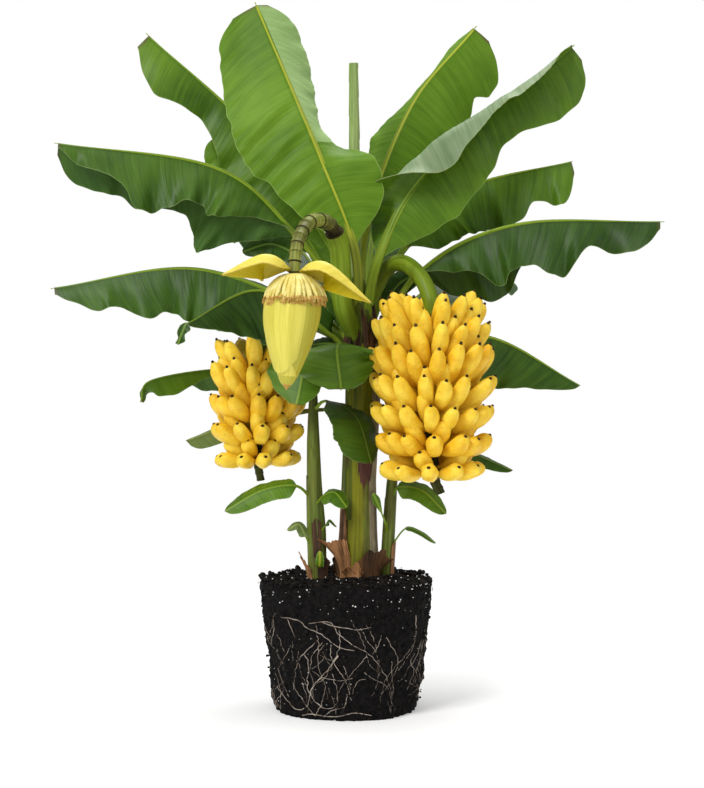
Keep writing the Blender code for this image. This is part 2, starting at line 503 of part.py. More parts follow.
# ---- dried sheaths: curved flaps round the foot of a stem ----------------------
# name, centre, inner radius, first and last angle, height, how far the top leans out
SHEATHS = [("dry_sheath_front", (0.020, 0.0), 0.0385, 205, 295, 0.046, 0.010),
           ("dry_sheath_right", (0.020, 0.0), 0.0385, 300, 345, 0.038, 0.006),
           ("dry_sheath_back", (0.020, 0.0), 0.0385, 60, 160, 0.052, 0.012),
           ("dry_sheath_left", (-0.050, -0.03), 0.0172, 130, 265, 0.034, 0.009)]
for name, (cx, cy), inner, first, last, height, flare in SHEATHS:
    columns, verts, faces = 9, [], []
    for i in range(columns):
        a = math.radians(first + (last - first) * i / (columns - 1))
        crown_height = height * (0.55 + 0.45 * math.sin(math.pi * i / (columns - 1)) - 0.12 * (i % 2))
        for radius, level in ((inner, 0.0), (inner + 0.0025, 0.0),
                              (inner + 0.0025 + flare, crown_height), (inner + flare, crown_height)):
            verts.append((cx + radius * math.cos(a), cy + radius * math.sin(a), SOIL + level))
    for i in range(columns - 1):
        for j in range(4):
            faces.append([4 * i + j, 4 * i + (j + 1) % 4, 4 * i + 4 + (j + 1) % 4, 4 * i + 4 + j])
    faces += [[0, 3, 2, 1], [4 * columns - 4 + j for j in range(4)]]
    mesh_object(name, verts, faces, plant, dry_sheath)

# ---- the two bunches -----------------------------------------------------------
for side_name, arch, rachis, axis, top, hands in (
        ("right", RIGHT_ARCH, RIGHT_RACHIS, RIGHT_AXIS, RIGHT_TOP_HAND, RIGHT_HANDS),
        ("left", LEFT_ARCH, LEFT_RACHIS, LEFT_AXIS, LEFT_TOP_HAND, LEFT_HANDS)):
    cut(stem(side_name + "_fruit_stalk", arch, plant, stalk_green, steps=10), main_room)
    arch_room = stem_cutter(side_name + "_stalk_room", arch, cutters, stalk_green, steps=10)
    cut(stem(side_name + "_fruit_axis", rachis, plant, stalk_green), arch_room)
    axis_room = stem_cutter(side_name + "_axis_room", rachis, cutters, stalk_green)
    for k, (count, reach) in enumerate(hands):
        hand("%s_hand_%d" % (side_name, k + 1), axis, top - k * FRUIT_PITCH, count, reach,
             0.5 * (k % 2), axis_room, plant, banana_yellow)

# ---- the flower ----------------------------------------------------------------
cut(stem("flower_stalk_rise", STALK_RISE, plant, stalk_green, sides=4), main_room)
rise_room = stem_cutter("flower_rise_room", STALK_RISE, cutters, stalk_green, sides=4)
cut(stem("flower_stalk_drop", STALK_DROP, plant, stalk_green, steps=11), rise_room)
drop_room = stem_cutter("flower_drop_room", STALK_DROP, cutters, stalk_green, steps=11)


def bud(name, home, look, grow=0.0):
    """The bud: its profile turned about a slightly tilted axis."""
    data = bpy.data.meshes.new(name)
    profile = [(r + grow * (0 < i < len(BUD_PROFILE) - 1), 0.0, z + grow * (1 - 2 * i / (len(BUD_PROFILE) - 1)))
               for i, (r, z) in enumerate(BUD_PROFILE)]
    data.from_pydata(profile, [(i, i + 1) for i in range(len(profile) - 1)], [])
    item = bpy.data.objects.new(name, data)
    home.objects.link(item)
    turn = item.modifiers.new("turn", "SCREW")
    turn.axis = "Z"
    turn.steps = turn.render_steps = 18
    turn.use_merge_vertices = True
    turn.merge_threshold = 0.00005
    bpy.ops.object.select_all(action="DESELECT")
    bpy.context.view_layer.objects.active = item
    item.select_set(True)
    bpy.ops.object.convert(target="MESH")
    shape = bmesh.new()
    shape.from_mesh(item.data)
    bmesh.ops.recalc_face_normals(shape, faces=shape.faces)
    shape.to_mesh(item.data)
    shape.free()
    item.data.transform(Matrix.Translation(BUD_TOP) @ Matrix.Rotation(BUD_TILT, 4, "Y"))
    item.data.materials.append(look)
    return item


bud("flower_bud", plant, bract_yellow)
bud_room = bud("bud_room", cutters, bract_yellow, grow=CLEAR)
bud_room.hide_render = True
bud_room.display_type = "WIRE"

top, foot, top_radius, foot_radius = FLORETS
bpy.ops.mesh.primitive_cone_add(vertices=40, radius1=foot_radius, radius2=top_radius, depth=top - foot,
                                location=(BUD_TOP.x, BUD_TOP.y, (top + foot) / 2))
florets = place(bpy.context.active_object, plant, floret_cream)
florets.name = florets.data.name = "flower_florets"
for i, v in enumerate(florets.data.vertices):
    ring, angle = (v.co.z < 0), math.atan2(v.co.y, v.co.x)
    if ring and round(angle / (2 * math.pi / 40)) % 2:
        v.co.x *= 0.93
        v.co.y *= 0.93
        v.co.z += 0.006
cut(florets, bud_room, "MANIFOLD")
cut(florets, drop_room, "MANIFOLD")

BRACTS = [
    ("bract_left", dict(points=[(-0.084, -0.222, 0.783), (-0.096, -0.228, 0.790), (-0.138, -0.243, 0.796),
                                (-0.203, -0.262, 0.763)], facing=(0.0, 0.45, 0.9))),
    ("bract_right", dict(points=[(-0.084, -0.224, 0.780), (-0.072, -0.230, 0.787), (-0.028, -0.248, 0.783),
                                 (0.042, -0.270, 0.717)], facing=(0.2, 0.45, 0.9)))]
for name, sizes in BRACTS:
    cut(blade(name, home=plant, look=bract_yellow, left=0.044, right=0.044, fold_left=12, fold_right=12,
              curl_left=38, curl_right=38, stalk=0.0045, steps=SMALL_STEPS, ramp=0.3, tip=0.45,
              thick=0.0030, **sizes), drop_room)
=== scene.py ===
# %% [markdown]
# # A hardy banana plant, dressed over its plain solids
#
# The plant stands on a bare, pot-shaped root ball. A banana has no wood: its trunk is
# a roll of leaf sheaths, each sheath ends in a stalk, and the stalk runs on as the
# midrib of one leaf. This lesson loads the plain solids as a fixed frame, then builds
# each part again with the surface that the real one has. The tables of the plant's
# places and sizes are in millimetres, and `mm` turns them into metres.

# %% Load the frame
import math
import bpy
import numpy as np
from mathutils import Matrix, Vector
from mathutils.bvhtree import BVHTree


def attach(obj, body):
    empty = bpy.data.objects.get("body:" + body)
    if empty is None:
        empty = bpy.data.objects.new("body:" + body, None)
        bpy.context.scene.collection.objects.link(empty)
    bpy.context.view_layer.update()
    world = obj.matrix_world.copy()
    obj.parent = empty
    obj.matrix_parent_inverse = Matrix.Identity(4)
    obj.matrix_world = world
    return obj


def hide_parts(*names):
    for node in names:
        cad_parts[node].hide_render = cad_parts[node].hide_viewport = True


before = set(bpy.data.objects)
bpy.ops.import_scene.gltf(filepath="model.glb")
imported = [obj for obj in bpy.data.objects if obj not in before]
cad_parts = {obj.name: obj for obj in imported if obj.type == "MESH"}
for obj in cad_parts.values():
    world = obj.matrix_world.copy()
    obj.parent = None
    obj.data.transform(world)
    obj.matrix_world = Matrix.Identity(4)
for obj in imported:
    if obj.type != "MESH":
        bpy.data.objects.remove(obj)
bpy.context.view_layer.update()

# %% [markdown]
# The camera comes first. It looks at the plant from the front, nearly level, through a
# long lens, so that near and far leaves keep their true sizes.

# %% Camera
EYE, AIM, LENS = Vector((0.0108, -3.0, 0.60)), Vector((0.0108, 0.0, 0.5643)), 76.14
bpy.ops.object.camera_add(location=EYE)
camera = bpy.context.object
camera.data.sensor_width = 36.0
camera.data.lens = LENS
camera.rotation_euler = (AIM - EYE).to_track_quat("-Z", "Y").to_euler()
bpy.context.scene.camera = camera
print("lens", LENS, "mm at", round((AIM - EYE).length, 2), "m")

# %% [markdown]
# Small helpers keep the later cells short. An operator acts on whatever is selected,
# so `only` clears the selection first. `grid` adds a flat grid, and `lay` moves every
# vertex of it to a place worked out from its two shares across and along, which is how
# leaves, stems and sheaths get their curves.

# %% Helpers for selecting and finishing
made = []


def mm(*rows):
    return np.array(rows, float) / 1000


def only(*items):
    bpy.ops.object.select_all(action="DESELECT")
    for item in items:
        item.select_set(True)
    bpy.context.view_layer.objects.active = items[0]


def edit(item, *steps):
    """Run edit-mode operators on the whole of one object."""
    only(item)
    bpy.ops.object.mode_set(mode="EDIT")
    bpy.ops.mesh.select_all(action="SELECT")
    for step in steps:
        step()
    bpy.ops.object.mode_set(mode="OBJECT")
    return item


def bake(item):
    """Apply every modifier, then put the object's place into its mesh."""
    only(item)
    for change in list(item.modifiers):
        bpy.ops.object.modifier_apply(modifier=change.name)
    bpy.ops.object.transform_apply(location=True, rotation=True, scale=True)
    return item


def smooth(item, degrees=60):
    only(item)
    bpy.ops.object.shade_smooth_by_angle(angle=math.radians(degrees))
    return item


def outward():
    bpy.ops.mesh.normals_make_consistent(inside=False)


def dress(item, *looks):
    item.data.materials.clear()
    for look in looks:
        item.data.materials.append(look)
    return item


def join(items, name):
    only(*items)
    if len(items) > 1:
        bpy.ops.object.join()
    items[0].name = items[0].data.name = name
    return items[0]


def settle(item, slot, *nodes):
    """The piece rides on the plant and stands for its solids."""
    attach(item, "root")
    if nodes:
        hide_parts(*nodes)
    made.append(item)
    return item


def piece(name, slot, node, *parts, degrees=60):
    """Join the parts into one smooth piece that stands for a solid."""
    return settle(smooth(join(parts, name), degrees), slot, node)


# %% Helpers for smooth curves
TURN = 6.28  # a whole turn, for random angles


def cubic(a, b, c, d, t):
    """The point at share t between b and c on a smooth curve through a, b, c and d."""
    square, cube = 2 * a - 5 * b + 4 * c - d, 3 * b - a - 3 * c + d
    return 0.5 * (2 * b + (c - a) * t + square * t ** 2 + cube * t ** 3)


def run(values, share):
    """Read a number, an even run or (percent, value) pairs at shares from 0 to 1."""
    share = np.clip(np.asarray(share, float), 0.0, 1.0)
    if not isinstance(values, tuple):
        return np.full(share.shape, float(values))
    if isinstance(values[0], tuple):
        at, given = zip(*values)
        near = (-1.6, -0.8, 0.0, 0.8, 1.6)
        return np.mean([np.interp(100 * share + step, at, given) for step in near], axis=0)
    v = np.asarray(values, float)
    at = share * (len(v) - 1)
    i = np.minimum(at.astype(int), len(v) - 2)
    return cubic(v[np.maximum(i - 1, 0)], v[i], v[i + 1], v[np.minimum(i + 2, len(v) - 1)], at - i)


def wobble(x, seed):
    """A soft wandering between about -1 and 1, the same for the same seed."""
    own = np.random.RandomState(seed)
    total = np.zeros(np.shape(x))
    for k in range(4):
        total += np.sin(x * own.uniform(0.6, 2.6) + own.uniform(0, TURN)) / 4
    return total * 1.5


def around(axis, angle, reach, level):
    return (axis[0] + reach * math.cos(angle), axis[1] + reach * math.sin(angle), level)


def unit(v):
    return v / np.linalg.norm(v, axis=-1, keepdims=True)


class Route:
    """A smooth curve through points, read by the share of its length."""

    def __init__(self, points):
        p = np.array([q[:3] for q in points], float)
        p = np.vstack([2 * p[0] - p[1], p, 2 * p[-1] - p[-2]])
        t = np.arange(24)[:, None] / 24
        self.points = np.vstack([cubic(*near, t) for near in zip(p, p[1:], p[2:], p[3:])] + [p[-2:-1]])
        step = np.linalg.norm(np.diff(self.points, axis=0), axis=1)
        self.along = np.concatenate([[0], np.cumsum(step)])
        self.length = self.along[-1]

    def at(self, share):
        s = np.clip(share, 0, 1) * self.length
        spot = np.stack([np.interp(s, self.along, self.points[:, k]) for k in range(3)], -1)
        past = (np.maximum(share, 1) - 1)[..., None] * self.length
        return spot + past * unit(self.points[-1] - self.points[-2])

    def frame(self, share, up, near=0.012):
        """The centre and the sideways and outward directions at each share."""
        ahead = unit(self.at(np.clip(share + near, 0, 1)) - self.at(np.clip(share - near, 0, 1)))
        up = np.asarray(up, float)
        out = unit(up - (ahead @ up)[..., None] * ahead)
        return self.at(share), np.cross(ahead, out), out


# %% Helpers for grids and tubes
def points_of(item):
    co = np.empty(len(item.data.vertices) * 3)
    item.data.vertices.foreach_get("co", co)
    return co.reshape(-1, 3)


def move(item, spots):
    item.data.vertices.foreach_set("co", np.ascontiguousarray(spots, float).ravel())


def grid(across, along):
    """A flat grid; returns it with each vertex's shares across and along."""
    bpy.ops.object.select_all(action="DESELECT")
    bpy.ops.mesh.primitive_grid_add(x_subdivisions=across, y_subdivisions=along, size=1.0)
    item = bpy.context.object
    co = points_of(item) + 0.5
    return item, np.round(co[:, 0] * across) / across, np.round(co[:, 1] * along) / along


def lay(item, spots, surface, margin):
    """Move the vertices to their spots and write the two UV maps, in metres."""
    move(item, spots)
    corner = np.empty(len(item.data.loops), int)
    item.data.loops.foreach_get("vertex_index", corner)
    while item.data.uv_layers:
        item.data.uv_layers.remove(item.data.uv_layers[0])
    for name, pair in (("surface", surface), ("margin", margin)):
        layer = item.data.uv_layers.new(name=name)
        layer.data.foreach_set("uv", np.stack(pair, -1)[corner].astype(np.float32).ravel())
    item.data.update()
    return item


def weld(item):
    """Close seams and poles, and turn the faces outwards."""
    return edit(item, lambda: bpy.ops.mesh.remove_doubles(threshold=0.00001), outward)


def thicken(item, metres):
    wall = item.modifiers.new("wall", "SOLIDIFY")
    wall.thickness, wall.offset = metres, 0.0
    return wall


def tube(points, up=(0, -1, 0), sides=24, steps=60, shape=None):
    """A closed tube along (x, y, z, radius) points; shape(angle, share, metres) scales its girth."""
    route = Route(points)
    item, u, v = grid(sides, steps + 2)
    row = np.round(v * (steps + 2))
    t = np.clip((row - 1) / steps, 0, 1)
    pole = (row == 0) | (row == steps + 2)
    chords = np.cumsum([0] + [math.dist(a[:3], b[:3]) for a, b in zip(points, points[1:])])
    radius = np.interp(t, chords / chords[-1], [p[3] for p in points])
    angle = 2 * math.pi * u - 0.5 * math.pi
    girth = radius * (shape(angle, t, t * route.length) if shape else 1.0)
    centre, side, out = route.frame(t, up)
    mean = float(np.mean(girth))
    girth = np.where(pole, 0.0, girth)[:, None]
    spots = centre + girth * (np.cos(angle)[:, None] * side + np.sin(angle)[:, None] * out)
    return weld(lay(item, spots, (angle * mean, t * route.length), (np.ones(len(t)), t)))


print("helpers ready")

# %% [markdown]
# Finishes. Leaves, stems and fruit share three effects, so each is a shader node group
# that is built once. `leaf skin` draws the side veins, which run out from the midrib
# and bend towards the tip, `fibres` draws streaks along a stalk, and `mottle` breaks
# up a plain colour. The first two read the UV map that each piece carries in metres,
# so that a vein is as wide on a small leaf as on a large one.

# %% Helpers for shader nodes
def fill(tree, socket, value):
    if isinstance(value, bpy.types.NodeSocket):
        tree.links.new(value, socket)
    else:
        socket.default_value = value


def put(tree, kind, settings=None, **inputs):
    """Add a node, set it up, and fill its sockets, given by name or by number as _0."""
    node = tree.nodes.new(kind)
    for key, value in (settings or {}).items():
        setattr(node, key, value)
    for key, value in inputs.items():
        fill(tree, node.inputs[int(key[1:]) if key[0] == "_" else key], value)
    return node


def calc(tree, what, a, b=0.5):
    return put(tree, "ShaderNodeMath", {"operation": what}, _0=a, _1=b).outputs[0]


def add_up(tree, *shares):
    """The sum of some values, each times its own weight."""
    total = 0.0
    for value, weight in shares:
        total = calc(tree, "ADD", calc(tree, "MULTIPLY", value, weight), total)
    return total


def blend(tree, share, a, b):
    return put(tree, "ShaderNodeMix", {"data_type": "RGBA"}, Factor=share, _6=a, _7=b).outputs[2]


def ramp(tree, value, low, high, to_low=0.0, to_high=1.0):
    return put(tree, "ShaderNodeMapRange", None, _0=value, _1=low, _2=high, _3=to_low, _4=to_high).outputs[0]


def noise_on(tree, vector, scale, stretch=(1, 1, 1), detail=3.0):
    spot = put(tree, "ShaderNodeVectorMath", {"operation": "MULTIPLY"}, _0=vector, _1=stretch).outputs[0]
    noise = put(tree, "ShaderNodeTexNoise", None, Vector=spot, Scale=scale, Detail=detail, Roughness=0.55)
    return noise.outputs[0]


def uv_map(tree, name):
    return put(tree, "ShaderNodeUVMap", {"uv_map": name}).outputs[0]


def x_and_y(tree, vector):
    return put(tree, "ShaderNodeSeparateXYZ", None, Vector=vector).outputs[:2]


def effect(name, **inputs):
    """Start a node group that puts out a colour, a roughness and a height. Returns it with its inputs,
    the object's own coordinates and a function that links up the results."""
    tree = bpy.data.node_groups.new(name, "ShaderNodeTree")
    for key, value in inputs.items():
        kind = "NodeSocketColor" if isinstance(value, tuple) else "NodeSocketFloat"
        socket = tree.interface.new_socket(key, in_out="INPUT", socket_type=kind)
        socket.default_value = (*value, 1.0) if isinstance(value, tuple) else value
    for key, kind in (("Color", "Color"), ("Roughness", "Float"), ("Height", "Float")):
        tree.interface.new_socket(key, in_out="OUTPUT", socket_type="NodeSocket" + kind)
    given = tree.nodes.new("NodeGroupInput").outputs
    result = tree.nodes.new("NodeGroupOutput").inputs
    place = put(tree, "ShaderNodeTexCoord").outputs["Object"]
    return tree, given, place, lambda **found: [tree.links.new(v, result[k]) for k, v in found.items()]


# %% The leaf skin
RIB_LINE, RIB_SHADE, PALE_EDGE = (0.0014, 0.0026), (0.0030, 0.0080), (0.0004, 0.0016)
DRY_TIP, BROWN = (0.985, 0.997), (0.10, 0.06, 0.03, 1.0)
leaf_skin, given, place, give = effect("leaf skin", Dark=(0.03, 0.09, 0.02), Light=(0.09, 0.22, 0.04),
                                       Rib=(0.25, 0.40, 0.08), Edge=(0.40, 0.45, 0.15), Gloss=0.42)
tree = leaf_skin
surface = uv_map(tree, "surface")
from_edge, along = x_and_y(tree, uv_map(tree, "margin"))
from_rib = calc(tree, "ABSOLUTE", x_and_y(tree, surface)[0])
fine = noise_on(tree, surface, 1.0, (14, 420, 1), 2.0)
broad = noise_on(tree, surface, 1.0, (5, 80, 1), 2.0)
blotch = noise_on(tree, place, 7.0)
tone = add_up(tree, (blotch, 0.50), (broad, 0.25), (fine, 0.25))
colour = blend(tree, ramp(tree, tone, 0.36, 0.64), given["Dark"], given["Light"])
# Painted shade: the blade darkens in a band beside the midrib.
colour = blend(tree, ramp(tree, from_rib, *RIB_SHADE, 0.45, 0.0), colour, given["Dark"])
colour = blend(tree, ramp(tree, from_rib, *RIB_LINE, 1.0, 0.0), colour, given["Rib"])
colour = blend(tree, ramp(tree, from_edge, *PALE_EDGE, 0.9, 0.0), colour, given["Edge"])
dry = calc(tree, "MULTIPLY", ramp(tree, along, *DRY_TIP), ramp(tree, fine, 0.42, 0.62))
give(Color=blend(tree, dry, colour, BROWN), Height=add_up(tree, (fine, 0.45), (broad, 0.9)),
     Roughness=add_up(tree, (given["Gloss"], 1.0), (blotch, 0.12)))

# %% Fibres along a stalk, and mottling
PLAIN = dict(Dark=(0.1, 0.1, 0.1), Light=(0.4, 0.4, 0.4), Gloss=0.5)
fibres, given, place, give = effect("fibres", **PLAIN, Stain=(0.2, 0.1, 0.05), Stained=0.0)
tree = fibres
surface = uv_map(tree, "surface")
streak = noise_on(tree, surface, 1.0, (300, 9, 1), 4.0)
wide = noise_on(tree, surface, 1.0, (60, 4, 1), 2.0)
patch = noise_on(tree, place, 16.0, (1, 1, 0.45), 4.0)
tone = add_up(tree, (streak, 0.45), (wide, 0.55))
colour = blend(tree, ramp(tree, tone, 0.36, 0.62), given["Dark"], given["Light"])
stain = calc(tree, "MULTIPLY", ramp(tree, patch, 0.50, 0.62), given["Stained"])
give(Color=blend(tree, stain, colour, given["Stain"]), Height=tone,
     Roughness=add_up(tree, (given["Gloss"], 1.0), (streak, 0.15)))

mottle, given, place, give = effect("mottle", **PLAIN, Speck=(0.1, 0.05, 0.02), Specks=0.0, Scale=30.0)
tree = mottle
soft = noise_on(tree, place, given["Scale"])
sharp = put(tree, "ShaderNodeTexNoise", None, Vector=place, Scale=260.0, Detail=1.0).outputs[0]
colour = blend(tree, ramp(tree, soft, 0.35, 0.65), given["Dark"], given["Light"])
speck = calc(tree, "MULTIPLY", ramp(tree, sharp, 0.66, 0.72), given["Specks"])
give(Color=blend(tree, speck, colour, given["Speck"]), Height=add_up(tree, (soft, 1.0), (sharp, 0.3)),
     Roughness=add_up(tree, (given["Gloss"], 1.0), (soft, 0.12)))
print("effects:", [g.name for g in bpy.data.node_groups])


# %% Materials
def finish(name, kind, bump, depth, shader, gloss, dark, light, **others):
    """A material that feeds one effect to the shader: depth in millimetres, colours in thousandths."""
    look = bpy.data.materials.new(name)
    look.use_nodes = True
    tree = look.node_tree
    main = tree.nodes["Principled BSDF"]
    source = put(tree, "ShaderNodeGroup", {"node_tree": kind}, Gloss=gloss)
    for key, value in dict(others, Dark=dark, Light=light).items():
        source.inputs[key].default_value = (*mm(*value), 1.0) if isinstance(value, tuple) else value
    colour, rough, height = (source.outputs[key] for key in ("Color", "Roughness", "Height"))
    relief = put(tree, "ShaderNodeBump", None, Strength=bump, Distance=depth / 1000, Height=height)
    feeds = {"Base Color": colour, "Roughness": rough, "Normal": relief.outputs[0]}
    for key, value in {**feeds, **shader}.items():
        fill(tree, main.inputs[key], value)
    return look


WAX = {"Sheen Weight": 0.04, "Sheen Roughness": 0.4, "Specular IOR Level": 0.20}
MATT = {"Specular IOR Level": 0.22}
DULL = {"Specular IOR Level": 0.12}
SKIN = {"Subsurface Weight": 0.08, "Subsurface Scale": 0.005, "Subsurface Radius": (1.0, 0.6, 0.2),
        "Specular IOR Level": 0.30}
leaf_upper = finish("leaf upper side", leaf_skin, 0.6, 1.2, WAX, 0.36, (14, 45, 1.5), (64, 142, 10),
                    Rib=(120, 200, 30), Edge=(130, 200, 50))
leaf_under = finish("leaf underside", leaf_skin, 0.5, 1.2, WAX, 0.5, (22, 68, 6), (68, 150, 22),
                    Rib=(130, 220, 30), Edge=(150, 220, 60))
leaf_pale = finish("leaf underside, waxy", leaf_skin, 0.5, 1.2, WAX, 0.5, (120, 185, 80), (290, 360, 215),
                   Rib=(260, 340, 120), Edge=(240, 300, 120))
# A lighter copy of the leaf finish for leaves that stand in the light: painted light in the colour.
leaf_painted_light = finish("leaf, painted light", leaf_skin, 0.6, 1.2, MATT, 0.38, (34, 92, 1.5), (115, 225, 11),
                    Rib=(170, 270, 20), Edge=(180, 270, 50))
# A darker copy of the leaf finish for leaves behind and below that lie in shadow: painted shade in the
# colour.
leaf_painted_shade = finish("leaf, painted shade", leaf_skin, 0.6, 1.2, MATT, 0.38, (8, 28, 1.5), (44, 104, 9),
                   Rib=(110, 180, 20), Edge=(110, 170, 40))
leaf_soft = finish("small leaf, pale", leaf_skin, 0.5, 1.2, DULL, 0.5, (90, 135, 28), (190, 250, 80),
                   Rib=(220, 280, 80), Edge=(160, 220, 70))
young_upper = finish("young leaf upper side", leaf_skin, 0.6, 1.2, DULL, 0.42, (55, 132, 4), (142, 270, 20),
                     Rib=(340, 380, 30), Edge=(240, 340, 80))
young_under = finish("young leaf underside", leaf_skin, 0.5, 1.2, WAX, 0.46, (190, 320, 85),
                     (330, 480, 180), Rib=(260, 360, 60), Edge=(300, 400, 140))
rib_green = finish("leaf stalk and midrib", fibres, 0.4, 0.6, DULL, 0.36, (110, 190, 6), (260, 370, 30),
                   Stain=(90, 90, 10), Stained=0.25)
rib_young = finish("young stalk and midrib", fibres, 0.4, 0.6, MATT, 0.36, (140, 200, 10), (340, 370, 35))
LEAF = (leaf_upper, leaf_under, leaf_under, rib_green)
# Its upper side takes the lighter copy: painted light.
PALE = (leaf_painted_light, leaf_pale, leaf_pale, rib_green)
# Leaves in the light take the lighter copy on their upper side: painted light.
LEAF_PAINTED_LIGHT = (leaf_painted_light, leaf_under, leaf_under, rib_green)
# Leaves in shadow take the darker copy on both faces: painted shade.
LEAF_PAINTED_SHADE = (leaf_painted_shade, leaf_painted_shade, leaf_under, rib_green)
SOFT = (leaf_soft, leaf_soft, leaf_soft, rib_green)
YOUNG = (young_upper, young_under, young_under, rib_young)
stem_green = finish("stem sheath, green", fibres, 0.5, 1, MATT, 0.42, (35, 58, 4), (135, 160, 14),
                    Stain=(60, 30, 10), Stained=0.65)
stem_lime = finish("stem sheath, bright", fibres, 0.5, 1, MATT, 0.38, (70, 78, 2), (200, 200, 5),
                   Stain=(70, 35, 8), Stained=0.35)
stem_grey = finish("stem sheath, grey", fibres, 0.5, 1, MATT, 0.5, (75, 58, 30), (310, 270, 165),
                   Stain=(60, 26, 16), Stained=0.7)
stem_plum = finish("stem sheath, purple", fibres, 0.5, 1, MATT, 0.5, (16, 6, 7), (100, 36, 22),
                   Stain=(30, 12, 10), Stained=0.7)
paper = finish("dried sheath", fibres, 0.9, 1.6, MATT, 0.5, (75, 26, 8), (480, 240, 100), Stain=(40, 16, 8),
               Stained=0.85)
paper_dark = finish("dried sheath, old", fibres, 0.9, 1.6, MATT, 0.6, (20, 11, 6), (150, 70, 26),
                    Stain=(20, 11, 7), Stained=0.8)
sucker_green = finish("side shoot", fibres, 0.5, 0.8, MATT, 0.42, (45, 70, 7), (165, 210, 30),
                      Stain=(70, 34, 12), Stained=0.35)
spear_green = finish("rolled leaf", fibres, 0.5, 0.8, MATT, 0.45, (150, 240, 55), (370, 460, 170))
stalk_green = finish("fruit stalk", fibres, 0.3, 0.6, MATT, 0.36, (85, 150, 4), (210, 300, 14),
                     Stain=(70, 80, 6), Stained=0.5)
stalk_olive = finish("flower stalk", fibres, 0.5, 1, MATT, 0.42, (90, 115, 12), (340, 360, 75),
                     Stain=(50, 45, 14), Stained=0.7)
stalk_dark = finish("old stalk", fibres, 0.6, 1, DULL, 0.5, (14, 20, 5), (75, 90, 18), Stain=(18, 10, 5),
                    Stained=0.8)
scar_dark = finish("scar", mottle, 0.4, 0.6, DULL, 0.6, (14, 12, 4), (75, 62, 20))
fruit_skin = finish("ripe fruit", mottle, 0.12, 0.6, SKIN, 0.4, (780, 480, 16), (920, 680, 62),
                    Speck=(300, 140, 20), Specks=0.3, Scale=38)
fruit_gold = finish("riper fruit", mottle, 0.12, 0.6, SKIN, 0.42, (760, 430, 10), (900, 620, 40),
                    Speck=(240, 100, 15), Specks=0.45, Scale=38)
fruit_end = finish("fruit end", mottle, 0.5, 0.6, DULL, 0.7, (12, 8, 4), (70, 40, 14))
crown_green = finish("crown of a hand", mottle, 0.5, 1, DULL, 0.6, (55, 40, 6), (190, 140, 18))
bud_skin = finish("flower bud", fibres, 0.3, 1, SKIN, 0.42, (560, 490, 60), (740, 650, 110),
                  Stain=(480, 460, 50), Stained=0.45)
# A darker copy of the bud's finish for its right side, turned from the key light: painted shade.
bud_painted_shade = finish("flower bud, painted shade", fibres, 0.3, 1, SKIN, 0.42, (360, 330, 25), (540, 490, 55),
                   Stain=(400, 340, 50), Stained=0.45)
bud_tip = finish("tip of the bud", fibres, 0.4, 1, MATT, 0.5, (300, 120, 20), (560, 340, 70))
bract_outer = finish("bract, outside", leaf_skin, 0.25, 0.8, SKIN, 0.42, (600, 480, 35), (760, 650, 110),
                     Rib=(720, 600, 90), Edge=(560, 420, 60))
bract_inner = finish("bract, inside", leaf_skin, 0.25, 0.8, SKIN, 0.36, (400, 320, 2), (580, 470, 6),
                     Rib=(520, 410, 5), Edge=(620, 500, 40))
floret_pale = finish("floret", mottle, 0.3, 0.6, SKIN, 0.45, (660, 520, 100), (840, 760, 300), Scale=60)
floret_end = finish("floret end", mottle, 0.4, 0.6, DULL, 0.6, (340, 175, 25), (720, 470, 140), Scale=140)
peat_dark = finish("peat", mottle, 1, 3, DULL, 0.9, (1.5, 1.4, 1.5), (8, 7, 6.8), Speck=(55, 36, 24),
                   Specks=0.3, Scale=120)
peat_brown = finish("peat crumb", mottle, 1, 2, DULL, 0.9, (3, 2.6, 2.5), (22, 18, 15), Scale=150)
grit_white = finish("white grit", mottle, 0.5, 0.5, DULL, 0.8, (520, 510, 480), (800, 790, 760), Scale=300)
root_pale = finish("root", mottle, 0.5, 0.5, DULL, 0.7, (130, 95, 70), (500, 430, 360), Scale=45)
print("materials:", len(bpy.data.materials))

# %% [markdown]
# The root ball is peat that has taken the shape of its pot. A cone is bevelled, remeshed
# into even faces and pushed about by three sizes of noise: hollows, lumps and crumbs.
# Its underside stays flat, because the plant stands on it.

# %% The block of peat
BALL_HEIGHT, BALL_TOP, BALL_BASE = 0.235, 0.157, 0.131
ROUND = 0.145  # metres of the ball's wall for each radian
FLAT_BELOW = 0.004
CENTRE = (0.0, 0.0)
bpy.ops.object.select_all(action="DESELECT")
bpy.ops.mesh.primitive_cone_add(vertices=96, radius1=BALL_BASE, radius2=BALL_TOP, depth=BALL_HEIGHT,
                                location=(0, 0, BALL_HEIGHT / 2))
ball = bpy.context.object
rim = ball.modifiers.new("soft rim", "BEVEL")
rim.width, rim.segments, rim.limit_method = 0.010, 3, "ANGLE"
even = ball.modifiers.new("even faces", "REMESH")
even.mode, even.voxel_size = "VOXEL", 0.0026
for name, size, strength in (("hollows", 0.060, 0.010), ("lumps", 0.016, 0.0075), ("crumbs", 0.0055, 0.0042)):
    pattern = bpy.data.textures.new(name, "CLOUDS")
    pattern.noise_scale, pattern.noise_depth = size, 1
    push = ball.modifiers.new(name, "DISPLACE")
    push.texture, push.strength, push.mid_level = pattern, strength, 0.55
bake(ball)
co = points_of(ball)
co[:, 2] = np.where(co[:, 2] < FLAT_BELOW, 0.0, co[:, 2])
move(ball, co)
piece("root_ball_peat", "peat", "root_ball", dress(ball, peat_dark))
print("peat:", len(ball.data.polygons), "faces")

# %% [markdown]
# Crumbs and white grit lie on the peat. Each is modelled once, as a small rough lump,
# and then copied: `copies` repeats one mesh at many spots, each copy with its own
# vertices, so that a thousand crumbs are still one piece.

